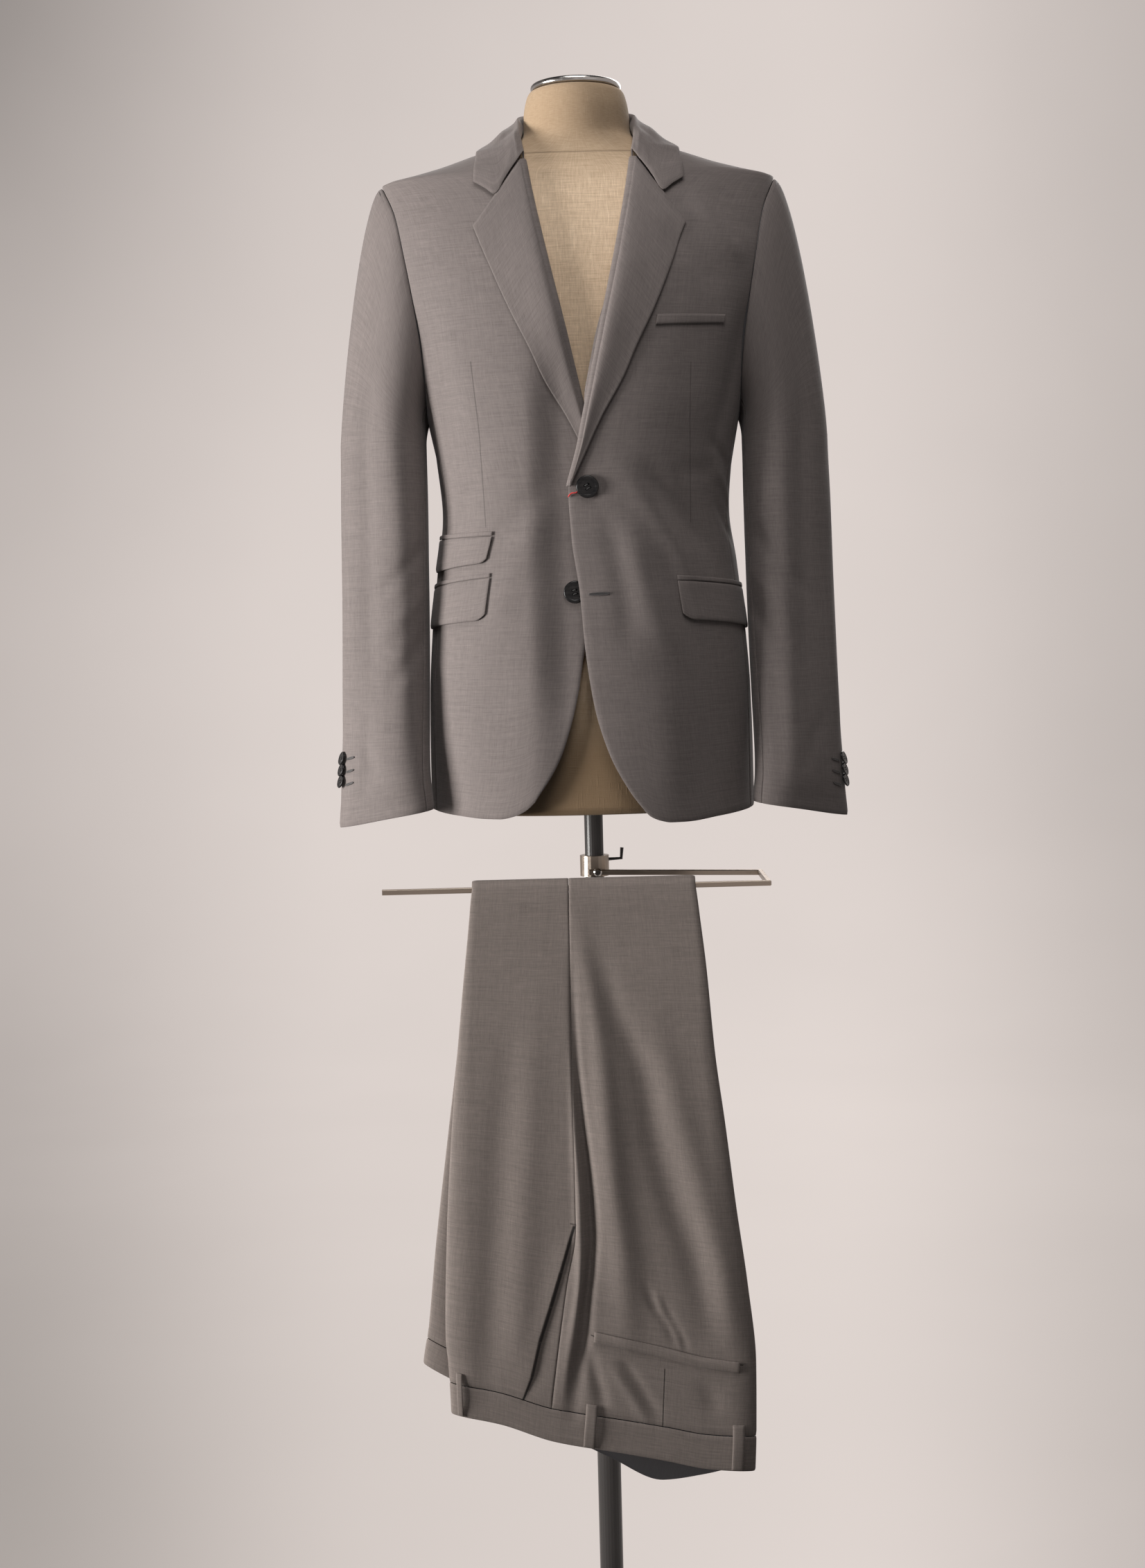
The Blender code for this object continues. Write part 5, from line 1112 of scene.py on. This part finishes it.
def worked_slit(name, at, length, height, reach=0.0011, count=60):
    """at(a, b, lift) gives the point a along the slit and b across it, at a lift. The thread lies in an oval
    of that length and half width reach round the slit."""
    turn = np.linspace(0, 2 * math.pi, count, endpoint=False)
    a = np.clip(1.08 * np.cos(turn), -1, 1) * length / 2
    b = np.sin(turn) * reach
    ring = cord_grid(at(a, b, height), 0.00065, 6, closed=True)
    piece(f"{name}_thread", surface(f"{name}_thread", ring, closed=True), hole_thread, "figure")
    # The slit is a dark strip in the black thread finish: painted shade in the cut between the stitches.
    slit_a, slit_b = np.meshgrid(np.linspace(-0.47, 0.47, 24) * length, np.linspace(-1, 1, 5) * 0.00055)
    gap = at(slit_a, slit_b, height + 0.0002)
    obj = piece(f"{name}_slit", surface(f"{name}_slit", gap), black_thread, "figure")
    shell = obj.modifiers.new("depth", "SOLIDIFY")
    shell.thickness, shell.offset = 0.0004, 0


HOLE_X, HOLE_Z, SLIT_ABOVE_BUTTON = 0.0105, 1.1772, 0.003
worked_slit("front_buttonhole", lambda a, b, lift: on_front(HOLE_X + a, HOLE_Z + 0.02 * a + b, lift), 0.0205,
            0.0004)
for side, hand, folds, heights in CUFFS:
    for number, height in enumerate(heights, 1):
        def cuff(a, b, lift):
            level = height + SLIT_ABOVE_BUTTON + 0.15 * a + b
            return cuff_point(side, folds, CUFF_SLIT_ANGLE + a / 0.048, level, lift)
        worked_slit(f"{hand}_cuff_hole_{number}", cuff, 0.0125, 0.0004, 0.0007, 40)
tack = np.linspace(0, 1, 14)
tack_path = on_front(-0.0188 + 0.0120 * tack, 1.2745 + 0.0085 * tack + 0.0015 * np.sin(6 * tack), 0.0008)
tack_path[:, 1] -= 0.0012 * np.sin(math.pi * tack) + 0.0004
tack_mesh = surface("edge_tack", cord_grid(tack_path, 0.0008), closed=True)
piece("edge_tack", tack_mesh, red_thread, "figure")

# The trousers: each leg is a front and a back half of fine wool, sewn at the side and the inseam, pressed
# along its creases, and hung by the knees over the rail with the waist in front. The near leg is the
# wearer's right.

TROUSER_WALL, BAND_WALL = 0.0012, 0.0020
RAIL_Y, RAIL_Z, HEM_Z, CROTCH_Z = -0.115, 0.8790, 0.420, 0.550
# How far the outer and the inner layer of each leg hang from the rail's middle
LEG_NEAR, LEG_FAR = (0.0101, 0.0073), (0.0040, 0.0068)
# Height and x of the front crease, of the side seam and of the right side. Above the rail a table goes on as
# if the leg stood up, from the rail's top to the hem
TOP_OF_RAIL, STANDING_HEM = 0.889, 1.360
NEAR_LEFT = np.array((
    (0.250, -0.1620), (0.345, -0.1625), (0.396, -0.1640), (0.418, -0.1658), (0.527, -0.1618),
    (0.585, -0.1580), (0.671, -0.1505), (0.768, -0.1400), (0.889, -0.1266), (1.360, -0.1000),
))
FAR_LEFT = np.array((
    (0.250, -0.1915), (0.383, -0.1910), (0.434, -0.1837), (0.522, -0.1739), (0.624, -0.1601),
    (0.732, -0.1448), (0.825, -0.1330), (0.889, -0.1255), (1.360, -0.0985),
))
SIDE_SEAM = np.array((
    (0.250, -0.0680), (0.339, -0.0600), (0.400, -0.0520), (0.473, -0.0410), (0.538, -0.0300),
    (0.697, -0.0295), (0.889, -0.0281), (1.360, -0.0150),
))
RIGHT_SIDE = np.array((
    (0.250, 0.1480), (0.315, 0.1510), (0.388, 0.1520), (0.469, 0.1450), (0.549, 0.1350),
    (0.635, 0.1256), (0.707, 0.1170), (0.793, 0.1104), (0.889, 0.1010), (1.360, 0.0780),
))
# x and height of the waist seam
NEAR_WAIST = np.array((
    (-0.166, 0.3760), (-0.113, 0.3650), (-0.0565, 0.3460), (0.015, 0.3325), (0.058, 0.3240),
    (0.100, 0.3150), (0.150, 0.3105),
))
FAR_WAIST = np.array((
    (-0.192, 0.4200), (-0.130, 0.3880), (-0.060, 0.3460), (0.000, 0.3150), (0.055, 0.2910),
    (0.100, 0.2960), (0.150, 0.3080),
))
BAND_DEPTH = 0.036
# Height, and how far the near leg swells forward and the far one backward
NEAR_SWELL = np.array((
    (0.250, 0.0190), (0.330, 0.0210), (0.420, 0.0220), (0.550, 0.0170), (0.700, 0.0090),
    (0.850, 0.0010), (0.889, 0.0),
))
FAR_SWELL = np.array((
    (0.250, 0.0170), (0.330, 0.0150), (0.395, 0.0070), (0.440, 0.0010), (0.480, 0.0), (0.889, 0.0),
))
# The near leg's folds, each a table from its foot up: height, x, depth (out is +) and half width. First the
# roll beside the side seam, the deep valley next to it, the broad ridge and the slanting trough beyond
LEG_FOLDS = tuple(np.array(fold) for fold in (
    ((0.340, -0.0480, 0.0, 0.0060), (0.400, -0.0400, 0.0018, 0.0060), (0.480, -0.0262, 0.0034, 0.0050),
     (0.560, -0.0250, 0.0034, 0.0050), (0.640, -0.0284, 0.0018, 0.0042), (0.740, -0.0290, 0.0, 0.0040)),
    ((0.325, -0.0370, 0.0, 0.0085), (0.346, -0.0363, -0.0014, 0.0085), (0.382, -0.0318, -0.0034, 0.0075),
     (0.418, -0.0244, -0.0062, 0.0060), (0.454, -0.0212, -0.0084, 0.0056), (0.490, -0.0164, -0.0094, 0.0054),
     (0.525, -0.0136, -0.0094, 0.0052), (0.561, -0.0147, -0.0090, 0.0050), (0.597, -0.0170, -0.0078, 0.0048),
     (0.650, -0.0218, -0.0056, 0.0044), (0.704, -0.0248, -0.0032, 0.0042), (0.760, -0.0262, -0.0016, 0.0040),
     (0.830, -0.0270, 0.0, 0.0040)),
    ((0.390, 0.0200, 0.0, 0.0160), (0.440, 0.0200, 0.0022, 0.0165), (0.500, 0.0175, 0.0050, 0.0170),
     (0.570, 0.0095, 0.0062, 0.0165), (0.640, 0.0045, 0.0056, 0.0150), (0.700, 0.0010, 0.0040, 0.0130),
     (0.760, -0.0060, 0.0024, 0.0110), (0.820, -0.0160, 0.0010, 0.0100), (0.870, -0.0220, 0.0, 0.0100)),
    ((0.400, 0.1080, 0.0, 0.0140), (0.450, 0.1000, -0.0022, 0.0150), (0.500, 0.0900, -0.0036, 0.0160),
     (0.560, 0.0700, -0.0042, 0.0160), (0.620, 0.0540, -0.0042, 0.0150), (0.684, 0.0430, -0.0036, 0.0140),
     (0.764, 0.0130, -0.0018, 0.0120), (0.830, -0.0010, 0.0, 0.0110)),
    ((0.400, 0.1290, 0.0, 0.0130), (0.470, 0.1200, 0.0022, 0.0140), (0.560, 0.1010, 0.0026, 0.0150),
     (0.660, 0.0760, 0.0020, 0.0150), (0.780, 0.0480, 0.0, 0.0140)),
    ((0.405, 0.0720, 0.0, 0.0040), (0.425, 0.0640, -0.0015, 0.0042), (0.450, 0.0490, -0.0016, 0.0046),
     (0.480, 0.0370, 0.0, 0.0050)),
    ((0.400, 0.0820, 0.0, 0.0038), (0.415, 0.0765, -0.0013, 0.0040), (0.440, 0.0640, -0.0013, 0.0044),
     (0.462, 0.0540, 0.0, 0.0050)),
    ((0.402, 0.0770, 0.0, 0.0036), (0.420, 0.0700, 0.0010, 0.0038), (0.448, 0.0560, 0.0010, 0.0040),
     (0.470, 0.0470, 0.0, 0.0045)),
    ((0.335, -0.0040, 0.0, 0.0070), (0.360, -0.0085, -0.0022, 0.0070), (0.395, -0.0165, -0.0022, 0.0065),
     (0.412, -0.0200, 0.0, 0.0060)),
    ((0.322, 0.0440, 0.0, 0.0050), (0.345, 0.0300, 0.0014, 0.0055), (0.375, 0.0120, 0.0014, 0.0055),
     (0.396, 0.0000, 0.0, 0.0050)),
    ((0.330, 0.0540, 0.0, 0.0050), (0.352, 0.0400, -0.0017, 0.0055), (0.380, 0.0240, -0.0017, 0.0055),
     (0.400, 0.0120, 0.0, 0.0050)),
    ((0.330, 0.1100, 0.0, 0.0120), (0.352, 0.1050, -0.0014, 0.0110), (0.375, 0.0950, 0.0, 0.0100)),
    ((0.345, -0.1250, 0.0, 0.0150), (0.450, -0.1180, -0.0020, 0.0160), (0.600, -0.1060, -0.0018, 0.0170),
     (0.760, -0.0900, 0.0, 0.0170)),
    ((0.350, -0.0930, 0.0, 0.0140), (0.450, -0.0880, 0.0016, 0.0150), (0.620, -0.0760, 0.0014, 0.0160),
     (0.800, -0.0640, 0.0, 0.0160)),
))
# The mouth of the slant pocket: height and x, from its foot to the side seam
POCKET_MOUTH = np.array((
    (0.349, -0.0905), (0.380, -0.0780), (0.416, -0.0690), (0.452, -0.0570), (0.488, -0.0455),
    (0.536, -0.0310),
))


def leg_drape(x, height):
    """How far the near leg's cloth stands out of its smooth form: each fold is a bell across its own line,
    depth e^-(d/width)^2, and the pocket's front edge stands proud of the cloth behind it, which is sunk."""
    relief = sum(smooth(height, fold, 2)
                 * np.exp(-((x - smooth(height, fold, 1)) / smooth(height, fold, 3)) ** 2)
                 for fold in LEG_FOLDS)
    off = x - smooth(height, POCKET_MOUTH)
    open_here = ramp(height, 0.350, 0.390) * (1 - ramp(height, 0.500, 0.534))
    proud = 0.0012 * np.exp(-(off / 0.012) ** 2) * (1 - ramp(off, -0.0016, 0.0004))
    return relief + open_here * (proud - 0.0020 * np.exp(-(off / 0.013) ** 2) * ramp(off, -0.0004, 0.0016))


def leg_sheet(near, front, over, behind, places):
    """Points of one leg's surface. Rows come down in front as shares of the drop to the waist seam, turn
    over the rail by angle, and go down behind by share. A place runs round the leg's flat section: -2 the
    inseam or fly, -1 the front crease, 0 the side seam, 1 the back crease, 2 the inseam or seat."""
    left, waist = (NEAR_LEFT, NEAR_WAIST) if near else (FAR_LEFT, FAR_WAIST)
    outer_layer, inner_layer = LEG_NEAR if near else LEG_FAR
    share = np.concatenate((front, 0 * over, behind))[:, None]
    hung = np.concatenate((np.ones_like(front), 0 * over, 0 * behind))[:, None] > 0.5
    turn = np.concatenate((0 * front, over, 0 * behind + math.pi))[:, None]
    places = np.asarray(places, float)[None]
    feet = np.array((waist[0, 1], float(smooth(-0.06, waist)), waist[-1, 1]))[None]
    level = np.where(hung, RAIL_Z + share * (feet - RAIL_Z),
                     TOP_OF_RAIL + share * (STANDING_HEM - TOP_OF_RAIL))
    crease, seam = smooth(level[:, :1], left), smooth(level[:, 1:2], SIDE_SEAM)
    back = smooth(level[:, 2:], RIGHT_SIDE) - (0 if near else 0.0015)
    seat = np.where(hung, ramp(CROTCH_Z - level[:, 1:2], 0, 0.20), 0)
    fly, middle = seam + 0.002 + seat * (crease + 0.065 - seam), seam + 0.003 + seat * (back - 0.014 - seam)
    x = np.where(places < -1, fly + (crease - fly) * (places + 2),
                 np.where(places < 0, crease + (seam - crease) * (places + 1),
                          np.where(places < 1, seam + (back - seam) * places,
                                   back + (middle - back) * (places - 1))))
    height = np.where(hung, RAIL_Z + share * (smooth(x, waist) - RAIL_Z), level[:, 1:2])
    front_swell = np.where(hung, smooth(height, NEAR_SWELL), 0)
    back_swell = np.where(hung, smooth(height, FAR_SWELL), 0)
    if near:
        outer, inner = outer_layer + front_swell, inner_layer + 0.45 * front_swell
    else:
        outer, inner = outer_layer + 0.10 * front_swell - back_swell, inner_layer + 0.32 * front_swell
    edge = np.where(places < 0, crease, back)
    reach = np.clip(np.abs(x - edge) / (0.006 + 1.7 * np.abs(np.abs(outer - inner) - 0.0028)), 0, 1)
    middle_layer = (outer + inner) / 2
    outwards = np.where(np.abs(places) <= 1, outer, inner) - middle_layer
    layer = middle_layer + outwards * np.sqrt(1 - (1 - reach) ** 2)
    if near:
        drape = leg_drape(x, height) * ramp(1 - np.abs(places), 0, 0.04)
        layer = layer + np.where(hung & (np.abs(places) < 1), drape, 0)
    y = np.where(hung, RAIL_Y - layer, RAIL_Y - layer * np.cos(turn))
    z = np.where(hung, height, RAIL_Z + layer * np.sin(turn) + share * (HEM_Z - RAIL_Z))
    return np.stack((x + 0 * z, y, z), axis=-1)


def leg_panel(near, front):
    """Half a leg, from its side seam round the crease to its inner seam."""
    places = np.concatenate((0.0012 + 0.9 * np.linspace(0, 1, 90 if near else 36),
                             np.linspace(0.910, 0.985, 9), np.linspace(0.989, 1.011, 9),
                             np.linspace(1.02, 1.10, 7), np.linspace(1.16, 1.97, 14)))
    rows = (np.linspace(1.0, 0.03, 124), np.radians(np.linspace(10, 170, 15)), np.linspace(0.03, 1.0, 36))
    grid = leg_sheet(near, *rows, -places[::-1] if front else places)
    return turned_edges(grid, 0.0005 * (1 if near else -1), 0.0018)


# The trousers are the jacket's wool, given a paler and warmer colour than WOOL: painted light, for the light
# that falls on the trousers.
TROUSER_WOOL_PAINTED_LIGHT = (0.208, 0.176, 0.160)
trouser_wool = suiting("trouser_wool", TROUSER_WOOL_PAINTED_LIGHT)
# The near leg's dark lines are painted shade: the slant pocket's mouth, short marks at its two ends, a dart
# by the hip welt and the ditch along the welt's top.
side_wool = suiting("trouser_side_wool", TROUSER_WOOL_PAINTED_LIGHT, grooves=(
    (-0.0310, 0.5350, -0.0455, 0.4880, 0.0022, 1.0), (-0.0455, 0.4880, -0.0570, 0.4520, 0.0027, 1.0),
    (-0.0570, 0.4520, -0.0690, 0.4160, 0.0025, 1.0), (-0.0690, 0.4160, -0.0780, 0.3800, 0.0020, 1.0),
    (-0.0780, 0.3800, -0.0905, 0.3490, 0.0016, 1.0), (-0.0350, 0.5375, -0.0290, 0.5365, 0.0008, 0.7),
    (-0.0955, 0.3535, -0.0895, 0.3475, 0.0008, 0.7), (0.0580, 0.3850, 0.0540, 0.3160, 0.0009, 0.75),
    (-0.0165, 0.4220, 0.0590, 0.3985, 0.0010, 0.8), (0.0590, 0.3985, 0.1380, 0.3865, 0.0010, 0.8)))
for near, hand in ((True, "right"), (False, "left")):
    for front, half in ((True, "front"), (False, "back")):
        sew(f"{hand}_trouser_{half}_cloth", leg_panel(near, front), side_wool if near else trouser_wool,
            (f"{hand}_trouser_{half}",), "folded", ("rail",), flip=not near, wall=TROUSER_WALL, body="rail")

# The waistbands: a straight band of two layers below the waist seam, faced with dark lining that hangs on as
# a curtain behind the seam, and the belt loops and the jetted hip pocket that lie over it.


NO_ROWS = np.array(())


def waistband(near):
    """The band from the fly round the front crease and the side to the seat seam."""
    depth = BAND_DEPTH / (RAIL_Z - 0.335)
    front = 1 + depth * np.linspace(1.0, 0.03, 18)
    places = np.concatenate((np.linspace(-1.75, -1.06, 14), np.linspace(-1.04, -0.96, 11),
                             np.linspace(-0.94, 0.94, 110), np.linspace(0.96, 1.04, 11),
                             np.linspace(1.08, 1.30, 6)))
    grid = leg_sheet(near, front, NO_ROWS, NO_ROWS, places)
    return turned_edges(grid, 0.0005 * (1 if near else -1), 0.0018)


def strip(near, first, last, top, foot, lift, columns, rows, bulge=0.0009):
    """A loop, welt or curtain at the outer side of a leg between two places, at lift from it; top and foot
    are shares of the drop. Its middle stands out by bulge sin(pi s)."""
    t = np.linspace(0, 1, columns)
    shares = [np.linspace(foot[0] + s * (foot[1] - foot[0]), top[0] + s * (top[1] - top[0]), rows) for s in t]
    grid = np.stack([leg_sheet(near, row, NO_ROWS, NO_ROWS, (first + s * (last - first),))[:, 0]
                     for s, row in zip(t, shares)], axis=1)
    grid[..., 1] += (-1 if near else 1) * (lift + bulge * np.sin(math.pi * np.linspace(0, 1, rows))[:, None])
    return turned_edges(grid, 0.0005 * (1 if near else -1), 0.0014)


# Each belt loop's two places round the leg, and its top and foot as shares of the drop
BELT_LOOPS = ((-0.93, -0.87, 0.975, 1.064), (0.165, 0.220, 0.978, 1.064), (0.880, 0.940, 0.978, 1.064))
for near, hand in ((True, "right"), (False, "left")):
    band_pieces = []
    for number, (first, last, top, foot) in enumerate(BELT_LOOPS, 1):
        lift = 0.0024 if first < 0 else 0.0026
        loop = strip(near, first, last, (top, top), (foot, foot), lift, 9, 26, 0.0022)
        band_pieces.append(cut_cloth(f"{hand}_loop_{number}_cloth", loop, trouser_wool,
                                     (f"{hand}_belt_loop_{number}",), flip=not near, wall=TROUSER_WALL,
                                     body="rail"))
    curtain = strip(near, -0.93, 0.93, (0.980, 0.980), (1.020, 1.020), -0.0032, 90, 6, 0.0)
    band_pieces.append(cut_cloth(f"{hand}_waist_curtain", curtain, dark_lining, (), flip=not near,
                                 wall=0.0008, body="rail"))
    sew(f"{hand}_waistband_cloth", waistband(near), trouser_wool, (f"{hand}_waistband",), "hung",
        (f"{hand}_trouser_front_cloth", f"{hand}_trouser_back_cloth"), with_pieces=band_pieces, flip=not near,
        wall=BAND_WALL, lined=dark_lining, body="rail")
    jet = strip(near, 0.17, 0.915, (0.836, 0.861), (0.857, 0.882), 0.0022, 80, 11)
    sew(f"{hand}_hip_jet", jet, trouser_wool, (f"{hand}_hip_pocket_welt",), "laid",
        (f"{hand}_trouser_back_cloth",), flip=not near, wall=0.0010, body="rail")
